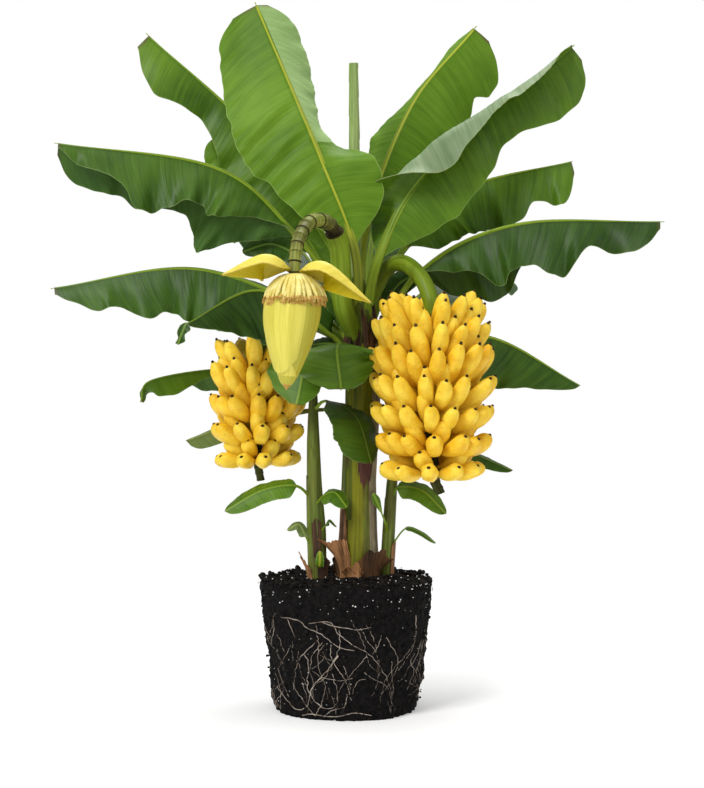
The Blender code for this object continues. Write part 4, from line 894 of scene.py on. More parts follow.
# %% The leaves
LEAVES = {
    "leaf_top": dict(
        points=((22, -3, 690), (15, -50, 822), (-46, -60, 983), (-161, 0, 1262)), facing=(0, -1, 0.15),
        width=(((0, 0), (8, 35), (18, 67), (28, 89), (35, 98), (39, 116), (44, 126), (53, 128), (61, 126),
                (71, 119), (80, 110), (88, 100), (93, 92), (96.5, 80), (98.5, 66), (100, 44)),
               ((0, 0), (5, 30), (10, 56), (15, 77), (21, 84), (29, 88), (33.5, 70), (38, 60), (42, 55),
                (47.5, 58), (53, 64), (61, 76), (69, 88), (75, 88), (85, 86), (92, 76), (96, 62),
                (98.5, 42), (100, 18))),
        fold=((5, 5, 5, 5, 5, 10, 15),
              ((0, -8), (29, -5), (35, 20), (40, 48), (47.5, 60), (55, 62), (70, 55), (85, 46), (100, 35))),
        # pale=0.42 paints sheen on the right half past 42 percent of the length.
        curl=(10, 5), stalk=9.5, wave=(1.8, 2), pitch=55, pale=0.42,
        creases=((0.6, 0.4), (0.475, 0.4), (0.335, 0.3)), looks=YOUNG),
    "leaf_top_left": dict(
        points=((10, 4, 682), (-6, 37, 790), (-168, 95, 1042), (-366, 100, 1228)),
        facing=(0.1, -0.75, 0.65),
        width=(((0, 0), (17, 62), (33, 92), (50, 92), (60, 66), (70, 50), (80, 62), (85, 78), (90, 70),
                (95, 54), (100, 28)),
               ((0, 0), (20, 50), (42, 60), (50, 90), (58, 85), (64, 50), (100, 20))),
        fold=((15, 15, 15, 20, 25, 20, 20), (75, 75, 75, 90, 130, 120, 100, 75, 75)), stalk=8.5,
        wave=(6, 4), pitch=110, looks=LEAF_PAINTED_LIGHT),
    "leaf_left_upper": dict(
        points=((30, 0, 675), (-75, -8, 835), (-225, -20, 968), (-508, -50, 1008)), facing=(0, 0, 1),
        width=(((0, 0), (10, 10), (20, 36), (28, 78), (34, 98), (38, 94), (42, 74), (50, 84), (60, 100),
                (66, 114), (71, 116), (74.5, 74), (80, 56), (90, 42), (95, 28), (100, 6)),
               ((0, 0), (8, 35), (18, 95), (24, 130), (30, 150), (34.5, 153), (41, 132), (49, 100),
                (56, 92), (65, 100), (72, 105), (77, 82), (88, 80), (94, 70), (98, 46), (100, 14))),
        fold=((40, 55, 60, 65, 65, 60, 60), (60, 70, 75, 70, 65, 60, 60)), stalk=8, wave=(14, 8), pitch=115),
    "leaf_left_middle": dict(
        points=((31, 0, 604), (-32, 18, 698), (-266, 30, 793), (-530, 30, 757)), facing=(0, -0.2, 0.98),
        width=(((0, 0), (10, 30), (20, 70), (35, 105), (45, 108), (53, 100), (57, 86), (62, 80), (67, 92),
                (70, 92), (74, 76), (79, 58), (83, 58), (87, 62), (91, 42), (96, 30), (100, 12)),
               ((0, 0), (20, 80), (70, 80), (90, 50), (100, 10))),
        fold=((40, 50, 58, 60, 60, 55, 50), (5, 5, 10, 15, 20, 25, 30)), stalk=8, wave=(6, 5), pitch=85),
    "leaf_left_lower": dict(
        points=((31, 0, 590), (-22, -18, 668), (-150, -85, 748), (-268, -190, 686)), facing=(0, -0.2, 0.98),
        width=((0, 20, 55, 100, 85, 45, 20), ((0, 50), (10, 60), (25, 55), (45, 35), (100, 30))),
        fold=(60, (-62, -50, -15, 10, 20, 25, 30)), stalk=7.5, ramp=0.05, tip=0.8, wave=(5, 2), pitch=70,
        looks=LEAF_PAINTED_SHADE),
    "leaf_top_right": dict(
        points=((27, 11, 687), (38, 63, 870), (118, 75, 1090), (238, 105, 1242)), facing=(-0.05, -1, 0.2),
        width=(((0, 0), (10, 45), (28, 62), (37, 76), (43, 76), (53, 38), (60, 14), (75, 8), (82, 14),
                (87, 22), (93, 16), (100, 4)),
               ((0, 0), (15, 70), (35, 105), (50, 115), (60, 114), (67, 108), (75, 93), (79.5, 80),
                (80.3, 102), (85, 106), (90, 98), (94, 84), (97, 66), (100, 30))),
        fold=((20, 45, 45, 45, 45, 40, 40), (10, 10, 10, 15, 15, 10, 10)), stalk=8, wave=(3, 4), pitch=120,
        looks=YOUNG),
    "leaf_right_high": dict(
        points=((35, -2, 650), (56, -36, 800), (145, -32, 962), (405, 0, 1187)), facing=(-0.15, -0.95, 0.3),
        width=(((0, 0), (15, 60), (25, 72), (32, 96), (42, 106), (52, 80), (62, 58), (75, 64), (90, 56),
                (100, 10)),
               ((0, 0), (15, 62), (30, 92), (42, 86), (52, 80), (60, 56), (68, 58), (80, 85), (90, 86),
                (96, 68), (99, 42), (100, 20))),
        fold=((20, 30, -20, -55, -60, -75, -95, -105, -100), (20, 15, 10, 10, 15, 15, 20)),
        curl=((10, 0, -80, -130, -110, -70, -40, -20, 0), 10), stalk=10.5, wave=(3, 6), pitch=130,
        looks=PALE),
    "leaf_right_mid": dict(
        points=((30, 9, 655), (105, 70, 830), (218, 75, 943), (413, 60, 990)), facing=(0, -0.25, 1),
        width=(((0, 0), (20, 70), (80, 60), (93, 40), (100, 10)),
               ((0, 0), (10, 50), (25, 70), (40, 85), (50, 90), (62, 98), (72, 88), (76, 62), (82, 62),
                (88, 78), (93, 80), (97, 58), (100, 18))), fold=(60, (45, 50, 55, 60, 60, 55, 50)), stalk=8,
        wave=(5, 11), pitch=120, looks=LEAF_PAINTED_LIGHT),
    "leaf_right_long": dict(
        points=((31, 0, 605), (130, 22, 785), (302, -5, 870), (556, -50, 870)), facing=(0, -0.1, 1),
        width=(((0, 60), (8, 88), (21, 122), (29, 128), (36, 112), (40, 88), (47, 60), (55, 50), (90, 40),
                (100, 10)),
               ((0, 0), (10, 34), (20, 60), (28, 98), (34, 108), (42, 80), (50, 82), (57, 100), (63, 108),
                (68, 90), (72, 52), (78, 50), (85, 64), (92, 58), (97, 40), (100, 10))),
        fold=((65, 70, 70, 60, 50, 50, 50), (50, 55, 60, 60, 60, 60, 55)), stalk=8, ramp=0.04, wave=(8, 14),
        pitch=110, looks=LEAF_PAINTED_SHADE),
    "leaf_right_low": dict(
        points=((31, 0, 580), (80, 45, 652), (262, 100, 672), (433, 90, 580)), facing=(0, -0.25, 1),
        width=(70, (0, 75, 90, 90, 85, 50, 30)), fold=((20, 25, 30, 30, 30), (50, 55, 60, 60, 55)),
        stalk=7.5, tip=0.8, wave=(5, 5), pitch=100),
    "leaf_back_left": dict(
        points=((24, 2, 648), (-20, 78, 740), (-140, 240, 900), (-245, 440, 920)), facing=(0, 0.25, 0.95),
        width=(90, 85), fold=((30, 35, 35), (30, 35, 35)), stalk=8, ramp=0.4, tip=0.5, wave=(8, 8),
        pitch=100, looks=LEAF_PAINTED_SHADE),
    "leaf_back": dict(
        points=((24, 4, 630), (38, 98, 780), (75, 265, 1000), (115, 420, 1130)), facing=(0.1, 0.1, 1),
        width=(95, 95), fold=((20, 25, 30), (20, 25, 30)), stalk=8.5, ramp=0.4, tip=0.5, wave=(6, 6),
        pitch=110),
    "leaf_back_right": dict(
        points=((31, 2, 620), (75, 62, 690), (200, 260, 790), (340, 430, 790)), facing=(0, 0.2, 1),
        width=(85, 80), fold=((30, 35, 35), (30, 35, 35)), stalk=8, ramp=0.4, tip=0.5, wave=(8, 8),
        pitch=100, looks=LEAF_PAINTED_SHADE),
    "leaf_front_centre": dict(
        points=((31, 0, 565), (18, -46, 638), (-14, -112, 650), (-8, -142, 574)), facing=(0, -0.15, 1),
        width=(((0, 0), (20, 45), (45, 62), (65, 66), (80, 62), (92, 46), (100, 20)),
               ((0, 0), (20, 50), (45, 74), (65, 80), (80, 72), (92, 50), (100, 20))),
        fold=((15, 10, 0, -5), (15, 10, 0, -5)), stalk=5, wave=(6, 6), pitch=50, sink=0.72, looks=LEAF_PAINTED_LIGHT),
    "leaf_behind_flower": dict(
        points=((30, 0, 535), (-14, -36, 600), (-62, -76, 636), (-86, -106, 548)), facing=(0, -0.45, 0.9),
        width=(((0, 0), (30, 36), (60, 40), (85, 34), (100, 12)),
               ((0, 0), (20, 40), (45, 66), (70, 66), (88, 46), (100, 12))),
        fold=((15, 15, 10), (15, 5, 0)), stalk=4.5, wave=(3, 3), pitch=60, sink=0.72, looks=LEAF_PAINTED_LIGHT),
    "leaf_left_low": dict(
        points=((29, 2, 540), (-20, 96, 588), (-210, 234, 612), (-372, 205, 590), (-394, 190, 548)),
        facing=(0, -0.25, 1),
        width=(((0, 0), (30, 45), (45, 30), (56, 6), (64, 14), (72, 26), (80, 40), (88, 36), (95, 20),
                (100, 6)),
               ((0, 0), (30, 55), (58, 60), (66, 52), (73, 28), (85, 16), (100, 6))),
        fold=((30, 50, 60, 60), (30, 50, 60, 50)), stalk=6, wave=(3, 3), pitch=90, looks=LEAF_PAINTED_LIGHT),
    "leaf_left_pale": dict(
        points=((27, 2, 480), (-10, 70, 535), (-170, 185, 520), (-305, 180, 474)), facing=(0, -0.6, 0.8),
        width=((3, 6, 10, 18, 26, 29, 24), (3, 6, 10, 15, 18, 17, 12)), fold=((25, 45, 50), (30, 30, 30)),
        stalk=3.8, tip=0.92, wave=(2, 2), pitch=60, sink=0.72, looks=SOFT),
    "leaf_front_low": dict(
        points=((-58, -30, 535), (-34, -52, 553), (18, -85, 524), (44, -95, 446)), facing=(0, -0.15, 1),
        width=(((0, 0), (20, 30), (50, 42), (80, 38), (93, 26), (100, 10)),
               ((0, 0), (15, 36), (40, 64), (65, 69), (85, 54), (95, 34), (100, 10))), fold=(5, (5, 0, 0)),
        stalk=4, wave=(3, 3), pitch=60, sink=0.72),
    "sucker_leaf_left_1": dict(
        points=((-55, -30, 370), (-88, -48, 402), (-148, -55, 395), (-213, -60, 359)),
        facing=(0, -0.7, 0.7), width=(24, 24), fold=(15, 20), stalk=3.2, tip=0.55, looks=LEAF_PAINTED_LIGHT),
    "sucker_leaf_left_2": dict(
        points=((-51, -30, 262), (-71, -44, 312), (-84, -50, 334), (-104, -52, 324)), facing=(0, -0.7, 0.7),
        width=(10, 10), fold=(15, 20), stalk=2.2, tip=0.4, looks=SOFT),
    "sucker_leaf_left_3": dict(
        points=((-56, -30, 362), (-43, -58, 383), (-20, -68, 392), (2, -74, 366)), facing=(0, -0.55, 0.8),
        width=(19, 21), fold=(15, 10), stalk=2.8, tip=0.4, looks=LEAF_PAINTED_LIGHT),
    "sucker_leaf_left_4": dict(
        points=((-53, -30, 312), (-38, -52, 330), (-29, -56, 343), (-16, -58, 330)), facing=(0, -0.1, 1),
        width=(8, 8), fold=(15, 10), stalk=2, tip=0.4),
    "sucker_leaf_left_5": dict(
        points=((-50, -30, 250), (-47.5, -50, 258), (-46, -57, 270), (-46, -60, 288)), facing=(0, -1, 0.2),
        width=(7, 7), fold=(10, 10), stalk=2, tip=0.4, looks=YOUNG),
    "sucker_leaf_right_1": dict(
        points=((82, 12, 365), (92, -6, 396), (136, -20, 392), (178, -30, 352)), facing=(0, -0.7, 0.7),
        width=(22, 22), fold=(15, 20), stalk=3, tip=0.4, looks=LEAF_PAINTED_LIGHT),
    "sucker_leaf_right_2": dict(
        points=((78, 10, 300), (70, -14, 335), (57, -26, 368), (48, -34, 388)), facing=(0, -1, 0.2),
        width=((0, 0, 4, 8, 8), (0, 0, 4, 8, 8)), fold=(15, 10), stalk=2.2, tip=0.6, looks=LEAF_PAINTED_LIGHT),
    "sucker_leaf_right_3": dict(
        points=((77, 10, 282), (106, -4, 322), (132, -10, 318), (161, -15, 297)), facing=(0, -0.5, 0.9),
        width=(7, 7), fold=(20, 20), stalk=2, tip=0.4),
    "sucker_leaf_right_4": dict(
        points=((86, 15, 430), (120, 48, 468), (215, 68, 460), (305, 60, 424)), facing=(0, -0.5, 0.9),
        width=(22, 24), fold=(20, 30), stalk=3.5, tip=0.4)}
TORN = {
    "leaf_top_left": dict(
        points=((-205, 100, 945), (-212, 100, 957), (-234, 100, 1000), (-247, 100, 1036)),
        facing=(0, -1, 0.2), width=(30, 24), ramp=0.5, tip=0.45, looks=YOUNG),
    "leaf_left_lower": dict(
        points=((-262, -186, 694), (-268, -190, 687), (-276, -192, 668), (-283, -190, 650)),
        facing=(-0.3, -0.8, 0.4), width=((6, 12, 6, 11, 2), (4, 10, 11, 4, 6)), wave=(3, 3), pitch=12)}
CROWN = (
    dict(points=((-60, 30, 782), (-85, 30, 812), (-135, 30, 836), (-188, 30, 822)), facing=(0, -0.9, 0.4),
         width=(20, 20), looks=LEAF),
    dict(points=((-2, 30, 735), (-15, 30, 762), (-44, 30, 804), (-69, 30, 844)), facing=(0.2, -1, 0.2),
         width=(14, 14), looks=LEAF_PAINTED_LIGHT),
    dict(points=((49, 30, 690), (66, 30, 722), (98, 30, 765), (142, 30, 788)), facing=(0.1, -0.9, 0.4),
         width=(22, 22), looks=LEAF_PAINTED_SHADE),
    dict(points=((49, 40, 653), (69, 40, 680), (98, 40, 713), (134, 40, 735)), facing=(0, -0.8, 0.5),
         width=(16, 16), looks=LEAF),
    dict(points=((24, 20, 650), (4, 0, 689), (-20, -10, 728), (-36, -10, 760)), facing=(0, -1, 0.2),
         width=(17, 16), looks=LEAF),
    dict(points=((26, 10, 636), (-2, -5, 646), (-28, -10, 655), (-66, -10, 652)), facing=(0, -0.8, 0.6),
         width=(15, 14), looks=LEAF_PAINTED_SHADE))
SMALL = dict(wave=(1.2, 1.2), pitch=35, thick=0.7, sink=0.72)
for k, (name, sizes) in enumerate(LEAVES.items()):
    if name.startswith("sucker"):
        sizes = {**SMALL, **sizes}
    slot = "young_leaf" if sizes.get("looks") in (YOUNG, SOFT) else "leaf"
    parts = [blade(seed=11 * k + 3, **sizes)]
    if name in TORN:
        parts.append(blade(seed=k, rib=False, stalk=1, **TORN[name]))
    piece(name + "_blade", slot, name, *parts)
parts = [blade(seed=90 + k, rib=False, stalk=4, tip=0.6, wave=(3, 3), pitch=40, **sizes)
         for k, sizes in enumerate(CROWN)]
settle(smooth(join(parts, "crown_leaves")), "leaf")
blades = [item for item in made if item.name.endswith("_blade")]
print("leaves:", len(blades), "with", sum(len(item.data.polygons) for item in blades), "faces")

# %% The leaf that is still rolled up
SPEAR = mm((18, 0, 765, 10), (16, 0, 870, 10.5), (15, 0, 1020, 10), (13.5, 0, 1158, 8.5))


def rolled(a, t, m):
    """The girth grows round the roll, and the edge where it drops back winds up the spear."""
    return 0.93 + 0.09 * np.mod(a / 6.283 + 0.9 - 3.1 * t ** 3, 1)


spear = tube(SPEAR, sides=48, steps=110, shape=rolled)
piece("rolled_leaf_spear", "young_leaf", "rolled_leaf", dress(spear, spear_green), degrees=50)

# %% [markdown]
# A bunch hangs from a thick green arch. Its fruit sits in hands, one above the other,
# and each hand grows from a crown on the axis. One straight banana is modelled from a
# circle that is extruded and resized ring by ring, given its five soft ridges, and
# then laid along a curve for every fruit: out from the axis, then up.

# %% One straight banana
FRUIT = ((0.0, 4.8), (0.06, 4.4), (0.12, 5.0), (0.18, 7.0), (0.25, 9.6), (0.34, 12.0), (0.45, 13.6),
         (0.57, 14.5), (0.68, 14.7), (0.78, 14.2), (0.86, 13.1), (0.915, 11.3), (0.955, 8.5), (0.980, 5.4),
         (0.992, 3.4), (0.996, 2.6), (1.014, 2.3), (1.018, 1.2))


def straight(profile, sides, dark_from):
    """A bar of (level, radius) rings, one metre high; its far end takes the second material."""
    bpy.ops.object.select_all(action="DESELECT")
    bpy.ops.mesh.primitive_circle_add(vertices=sides, radius=profile[0][1] / 1000, fill_type="NGON")
    item = bpy.context.object
    bpy.ops.object.mode_set(mode="EDIT")
    bpy.ops.mesh.select_all(action="SELECT")
    for (low, was), (level, size) in zip(profile, profile[1:]):
        bpy.ops.mesh.extrude_region_move(TRANSFORM_OT_translate={"value": (0, 0, level - low)})
        bpy.ops.transform.resize(value=(size / was, size / was, 1))
    bpy.ops.object.mode_set(mode="OBJECT")
    edit(item, outward)
    for face in item.data.polygons:
        face.material_index = int(face.center.z > dark_from)
    return item


def ridged(item, corners, soft):
    """Turn round rings into rings with soft corners."""
    co = points_of(item)
    turn = np.mod(np.arctan2(co[:, 1], co[:, 0]), 2 * math.pi / corners) - math.pi / corners
    co[:, :2] *= ((math.cos(math.pi / corners) / np.cos(turn)) ** soft)[:, None]
    move(item, co)
    return item


def bent(points, a, b, c, roll=0.0, fat=1.0):
    """Lay a straight piece, whose z runs from 0 to 1, along the curve a, b, c."""
    a, b, c = (np.array(q, float) for q in (a, b, c))
    t = points[:, 2:3]
    s = np.clip(t, 0, 1)
    spot = (1 - s) ** 2 * a + 2 * s * (1 - s) * b + s * s * c + (t - s) * 2 * (c - b)
    side = unit(np.cross([0, 0, 1], (c - a) * [1, 1, 0]))
    over = np.cross(unit(2 * (1 - s) * (b - a) + 2 * s * (c - b)), side)
    x = points[:, 0:1] * math.cos(roll) - points[:, 1:2] * math.sin(roll)
    y = points[:, 0:1] * math.sin(roll) + points[:, 1:2] * math.cos(roll)
    return spot + fat * (x * side + y * over)


# %% The bunches
RIGHT, LEFT, HAND_PITCH = (150, -100), (-162, 48), 0.0387
BUNCHES = {  # axis, height of the first hand, and how many bananas each hand has and how far they reach
    "right": (RIGHT, 662, ((13, 91), (15, 104), (16, 110), (16, 109), (15, 106), (14, 101), (11, 92))),
    "left": (LEFT, 600, ((11, 80), (13, 87), (13, 88), (12, 85), (10, 77)))}
CROWN_RINGS = mm((-12, 14), (-5, 18), (6, 18), (13, 14))
INNER = 0.62  # share of a hand's bananas that make up its inner row
dice = np.random.RandomState(12)
total = 0


def finger(base, axis, angle, reach, height, low, steep):
    """One fruit: it leaves the axis level, and a steep one stands up at once."""
    twist = dice.uniform(-0.10, 0.10)
    elbow = around(axis, angle + 0.4 * twist, reach * (0.84 - 0.34 * steep), height + low)
    rise = reach * (0.10 + 0.80 * steep) * dice.uniform(0.88, 1.10)
    start, end = around(axis, angle, 0.011, height), around(axis, angle + twist, reach, height + low + rise)
    return bent(base, start, elbow, end, dice.uniform(0, TURN), dice.uniform(0.95, 1.10))


for side_name, (axis, top, hands) in BUNCHES.items():
    axis = mm(*axis)
    for k, (count, reach) in enumerate(hands):
        fruit = ridged(straight(FRUIT, 20, 0.993), 5, 0.5)
        base, spots = points_of(fruit), []
        reach, height = reach / 1000, top / 1000 - k * HAND_PITCH
        steep = 0.94 - 0.80 * k / (len(hands) - 1)
        for i in range(count):
            angle = 2 * math.pi * (i + 0.5 * (k % 2) + dice.uniform(-0.16, 0.16)) / count
            far, low = reach * dice.uniform(0.94, 1.02), -0.006 + dice.uniform(-0.004, 0.002)
            spots.append(finger(base, axis, angle, far, height, low, steep))
        count = int(count * INNER)
        for i in range(count):
            angle = 2 * math.pi * (i + 0.25 + dice.uniform(-0.2, 0.2)) / count
            far = 0.80 * reach * dice.uniform(0.92, 1.06)
            spots.append(finger(base, axis, angle, far, height + 0.008, 0.004, min(1.0, steep + 0.22)))
        hand = copies(fruit, spots, fruit_gold if k % 3 == 2 else fruit_skin, fruit_end)
        crown = tube([(*axis, height + level, girth) for level, girth in CROWN_RINGS], sides=28, steps=14,
                     shape=folds(7, 0.03, k))
        name = "%s_hand_%d" % (side_name, k + 1)
        piece(name + "_fruit", "fruit", name, hand, dress(crown, crown_green), degrees=50)
        total += len(spots)
print("bananas:", total)

# %% [markdown]
# The stalks carry scars where old flower sheaths fell away. `ringed` makes the stalk
# swell towards each scar and step back after it, and the faces at the step take a
# darker finish.

# %% Stalks with scars
AXIS_PITCH, FLOWER_PITCH, FIRST_SCAR = 0.0115, 0.0165, (0.012, 0.030)


def ringed(pitch, depth):
    return lambda a, t, m: 1.0 + depth * (np.mod(m / pitch, 1.0) ** 3 - 0.4) + 0.012 * np.sin(3 * a + 9 * t)


def arched(a, t, m):
    return 1.0 + 0.015 * np.sin(2 * a + 5 * t)


def darken(item, look, test):
    """Give the look to each face whose distance along the stalk passes the test."""
    item.data.materials.append(look)
    layer = item.data.uv_layers["surface"].data
    for face in item.data.polygons:
        if test(sum(layer[i].uv[1] for i in face.loop_indices) / face.loop_total):
            face.material_index = len(item.data.materials) - 1
    return item


ARCHES = {
    "right": mm((30, 0, 670, 15), (49, 8, 745, 14.5), (74, -8, 790, 14.5), (102, -40, 797, 14.5),
                (131, -78, 770, 14.5), (147, -98, 732, 14.5), (*RIGHT, 704, 14.5)),
    "left": mm((30, 0, 590, 12), (-4, 34, 655, 12), (-45, 56, 686, 12), (-95, 61, 694, 12),
               (-138, 56, 680, 12), (-158, 50, 652, 12), (*LEFT, 632, 12))}
AXES = {
    "right": mm((*RIGHT, 708, 13), (*RIGHT, 690, 13.4), (*RIGHT, 560, 12),
                (153, -100, 430, 10), (165, -100, 392, 8.5)),
    "left": mm((*LEFT, 636, 10), (*LEFT, 618, 10.8), (*LEFT, 520, 10),
               (-161, 48, 440, 8.5), (-156, 48, 405, 7))}
for side_name in BUNCHES:
    arch = tube(ARCHES[side_name], (0.3, -1, 0.1), 36, 110, arched)
    piece(side_name + "_arch", "stalk", side_name + "_fruit_stalk", dress(arch, stalk_green), degrees=40)
    axle = dress(tube(AXES[side_name], sides=28, steps=150, shape=ringed(AXIS_PITCH, 0.16)), stalk_dark)
    axle = darken(axle, scar_dark, lambda m: np.mod(m / AXIS_PITCH, 1.0) > 0.86)
    piece(side_name + "_axis_scarred", "stalk", side_name + "_fruit_axis", axle, degrees=40)
RISE = mm((28, 0, 650, 18), (-4, -36, 718, 18), (-8, -60, 778, 18), (-12, -76, 826, 18), (-20, -94, 848, 17))
DROP = mm((-16.5, -86, 840, 12), (-25, -105, 856, 13), (-40, -130, 864, 12.5), (-62, -168, 857, 12),
          (-78, -203, 828, 11.5), (-84, -223, 790, 10.5), (-84.5, -225, 751.5, 8))
rise_end = Route(RISE).length - 0.0035
rise = dress(tube(RISE, (1, 0, 0.2), 40, 90, folds(4, 0.012, 3)), rib_green)
rise = darken(rise, scar_dark, lambda m: m > rise_end)
piece("flower_stalk_up", "stalk", "flower_stalk_rise", rise, degrees=40)
drop = dress(tube(DROP, (1, 0, 0.2), 36, 190, ringed(FLOWER_PITCH, 0.20)), stalk_olive)
drop = darken(drop, scar_dark,
              lambda m: np.mod(m / FLOWER_PITCH, 1.0) > 0.90 or FIRST_SCAR[0] < m < FIRST_SCAR[1])
piece("flower_stalk_over", "stalk", "flower_stalk_drop", drop, degrees=40)
print("stalks ready")

# %% [markdown]
# The flower bud is a pointed egg of tightly wrapped bracts. Its body is a tube on a
# slightly tilted line, and three thin shells wrap it as the outermost bracts do, so
# that their edges show. Above it two bracts have opened, and the florets that they
# covered hang over the bud like a skirt.

# %% The bud
BUD_TOP, BUD_TILT, BUD_LENGTH = Vector(mm(-84.5, -225, 751.2)), math.radians(4.6), 0.179
BUD_GIRTH = tuple(mm(0, 36, 44.6, 46.8, 46.6, 44.8, 41.6, 38, 33.8, 29, 23.8, 18.2, 11.8, 0))


def bud_shape(a, t, m):
    return run(BUD_GIRTH, t) * (0.965 + 0.006 * wobble(a * 9, 5))


def bud_spot(depth):
    depth = np.asarray(depth, float)[..., None]
    return np.array(BUD_TOP) - depth * np.array([math.sin(BUD_TILT), 0, math.cos(BUD_TILT)])


def bract_wrap(first, last, low, lift, look, seed):
    """A bract pressed on the bud, from its top down to a curved lower edge."""
    item, u, v = grid(40, 70)
    low, lift = mm(low, lift)
    edge = np.abs(2 * u - 1)
    angle = np.radians(first + (last - first) * u)
    depth = v * low * (1.0 - 0.16 * edge ** 2.2)
    girth = run(BUD_GIRTH, depth / BUD_LENGTH) + lift * np.minimum(1.0, 8 * v) * (1 - 0.6 * edge ** 6)
    girth = girth * (1.0 + 0.004 * wobble(angle * 11, seed))
    spots = bud_spot(depth) + girth[:, None] * np.stack([np.cos(angle), np.sin(angle), 0 * angle], -1)
    lay(item, spots, (angle * 0.045, depth), (np.ones(len(u)), v))
    thicken(edit(item, outward), SHEATH_WALL)
    return dress(bake(item), look)


line = [(*bud_spot(BUD_LENGTH * k / 13), 1.0) for k in range(14)]
body = tube(line, sides=56, steps=110, shape=bud_shape)
# The lower part of the bud takes the darker copy, so the bud is darker towards its tip.
darken(dress(body, bud_skin), bud_painted_shade, lambda m: m > BUD_LENGTH * 0.86)
darken(body, bud_tip, lambda m: m > BUD_LENGTH * 0.945)
# The bract that wraps the right side takes the darker copy: painted shade.
piece("bud_of_bracts", "bract", "flower_bud", body, bract_wrap(162, 300, 150, 1.4, bud_skin, 3),
      bract_wrap(284, 446, 158, 0.3, bud_painted_shade, 4), bract_wrap(60, 200, 154, -0.6, bud_skin, 6), degrees=50)

# %% The florets
FLORET = ((0.0, 2.6), (0.15, 2.8), (0.35, 3.2), (0.55, 3.7), (0.72, 4.2), (0.84, 4.3), (0.92, 3.8),
          (0.96, 3.0), (1.00, 2.6), (1.03, 1.6))
HAIR = ((0.0, 0.8), (0.4, 0.9), (0.8, 0.7), (1.0, 0.3))
ROWS = ((32, 727, 765, 50.8), (28, 720, 762, 47.8))  # how many, lower end, top and reach
spots, fringe_spots = [], []
floret = straight(FLORET, 10, 0.985)
base = points_of(floret)
for row, (count, *sizes) in enumerate(ROWS):
    low, high, reach = mm(*sizes)
    for i in range(count):
        angle = 2 * math.pi * (i + 0.5 * row + dice.uniform(-0.12, 0.12)) / count
        far = reach * dice.uniform(0.94, 1.04)
        level = low + dice.uniform(-0.002, 0.003)
        start, middle = around(BUD_TOP, angle, 0.0100, high), around(BUD_TOP, angle, 0.0340, high - 0.0005)
        end = around(BUD_TOP, angle + dice.uniform(-0.03, 0.03), far, level)
        spots.append(bent(base, start, middle, end, 0.0, dice.uniform(0.86, 1.0)))
        for k in range(6):
            turn = angle + 0.034 * (k - 2.5) + dice.uniform(-0.02, 0.02)
            start = around(BUD_TOP, turn, far - 0.001, level + 0.001)
            middle = around(BUD_TOP, turn, far + 0.0035, level - 0.003)
            end = around(BUD_TOP, turn + dice.uniform(-0.05, 0.05), far + dice.uniform(0.000, 0.004),
                         level - dice.uniform(0.005, 0.009))
            fringe_spots.append((start, middle, end))
skirt = copies(floret, spots, floret_pale, floret_end)
hair = straight(HAIR, 5, 2.0)
base = points_of(hair)
fringe = copies(hair, [bent(base, *spot) for spot in fringe_spots], floret_end)
piece("floret_skirt", "florets", "flower_florets", skirt, fringe, degrees=50)

# %% The open bracts
NEAR = dict(width=(0, 26, 34, 34, 29, 21, 12, 2), fold=38, curl=62)
FAR = dict(width=(0, 36, 48, 47, 38, 27, 14, 2), fold=2, curl=14)
BRACTS = {
    "bract_left": ((0, 0.72, 0.70), (NEAR, FAR), (
        (-85, -224, 763), (-92, -230, 773), (-134, -243, 796), (-203, -262, 763))),
    "bract_right": ((0.2, 0.72, 0.70), (FAR, NEAR), (
        (-83, -224, 762), (-75, -231, 770), (-30, -248, 782), (42, -270, 717)))}
for k, (name, (facing, halves, points)) in enumerate(BRACTS.items()):
    sizes = {key: tuple(half[key] for half in halves) for key in NEAR}
    bract = blade(points, facing, **sizes, stalk=4.5, ramp=0.08, wave=(0.6, 0.6), pitch=50, thick=2.2,
                  looks=(bract_outer, bract_inner, bract_outer), seed=70 + k, rib=False)
    piece(name + "_open", "bract", name, bract)
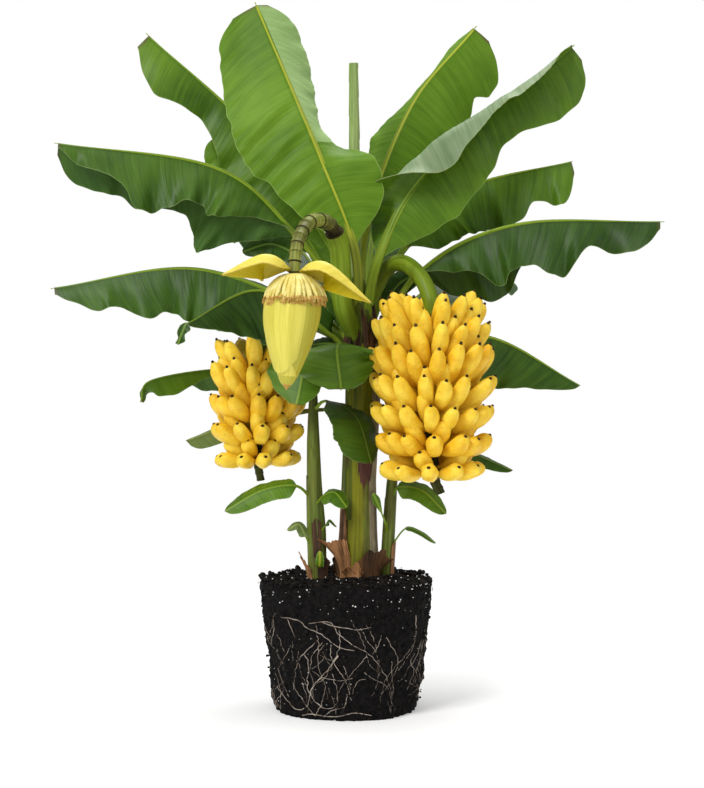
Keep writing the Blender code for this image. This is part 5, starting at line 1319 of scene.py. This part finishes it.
print("flower ready")

# %% [markdown]
# A round, pale floor, a broad soft light from the upper left, a weaker one from the
# right and one from above give the look of a studio shot. The world is white, and
# brighter to the camera than to the plant.

# %% The studio
bpy.ops.object.select_all(action="DESELECT")
bpy.ops.mesh.primitive_circle_add(vertices=96, radius=1.7, fill_type="NGON")
floor = bake(bpy.context.object)
floor.name = floor.data.name = "studio_floor"
pale = bpy.data.materials.new("studio white")
pale.use_nodes = True
WHITE = (1.0, 1.0, 1.0, 1.0)
for key, value in (("Base Color", (0.92, 0.92, 0.92, 1.0)), ("Roughness", 0.9), ("Specular IOR Level", 0.1),
                   ("Emission Color", WHITE), ("Emission Strength", 0.20)):
    pale.node_tree.nodes["Principled BSDF"].inputs[key].default_value = value
dress(floor, pale)
world = bpy.data.worlds.new("studio")
bpy.context.scene.world = world
world.use_nodes = True
tree = world.node_tree
lit = tree.nodes["Background"]
lit.inputs["Color"].default_value = WHITE
lit.inputs["Strength"].default_value = 0.50
seen = put(tree, "ShaderNodeBackground", None, Color=WHITE, Strength=1.0)
to_camera = put(tree, "ShaderNodeLightPath").outputs["Is Camera Ray"]
both = put(tree, "ShaderNodeMixShader", None, _0=to_camera, _1=lit.outputs[0], _2=seen.outputs[0])
tree.links.new(both.outputs[0], tree.nodes["World Output"].inputs["Surface"])
LIGHTS = (("key light", (-1.9, -2.6, 2.9), 1.4, 102), ("fill light", (2.6, -2.4, 1.4), 1.6, 18),
          ("top light", (0.3, 0.7, 3.2), 1.6, 60))
for name, spot, size, power in LIGHTS:
    bpy.ops.object.light_add(type="AREA", location=spot)
    lamp = bpy.context.object
    lamp.name, lamp.data.name = name, name
    lamp.data.size, lamp.data.energy = size, power
    lamp.rotation_euler = (Vector((0, 0, 0.7)) - Vector(spot)).to_track_quat("-Z", "Y").to_euler()
bpy.context.scene.view_settings.view_transform = "Standard"
print("studio ready")

# %% Sizes
print("pieces:", len(made), "triangles:", sum(len(o.data.loops) - 2 * len(o.data.polygons) for o in made))
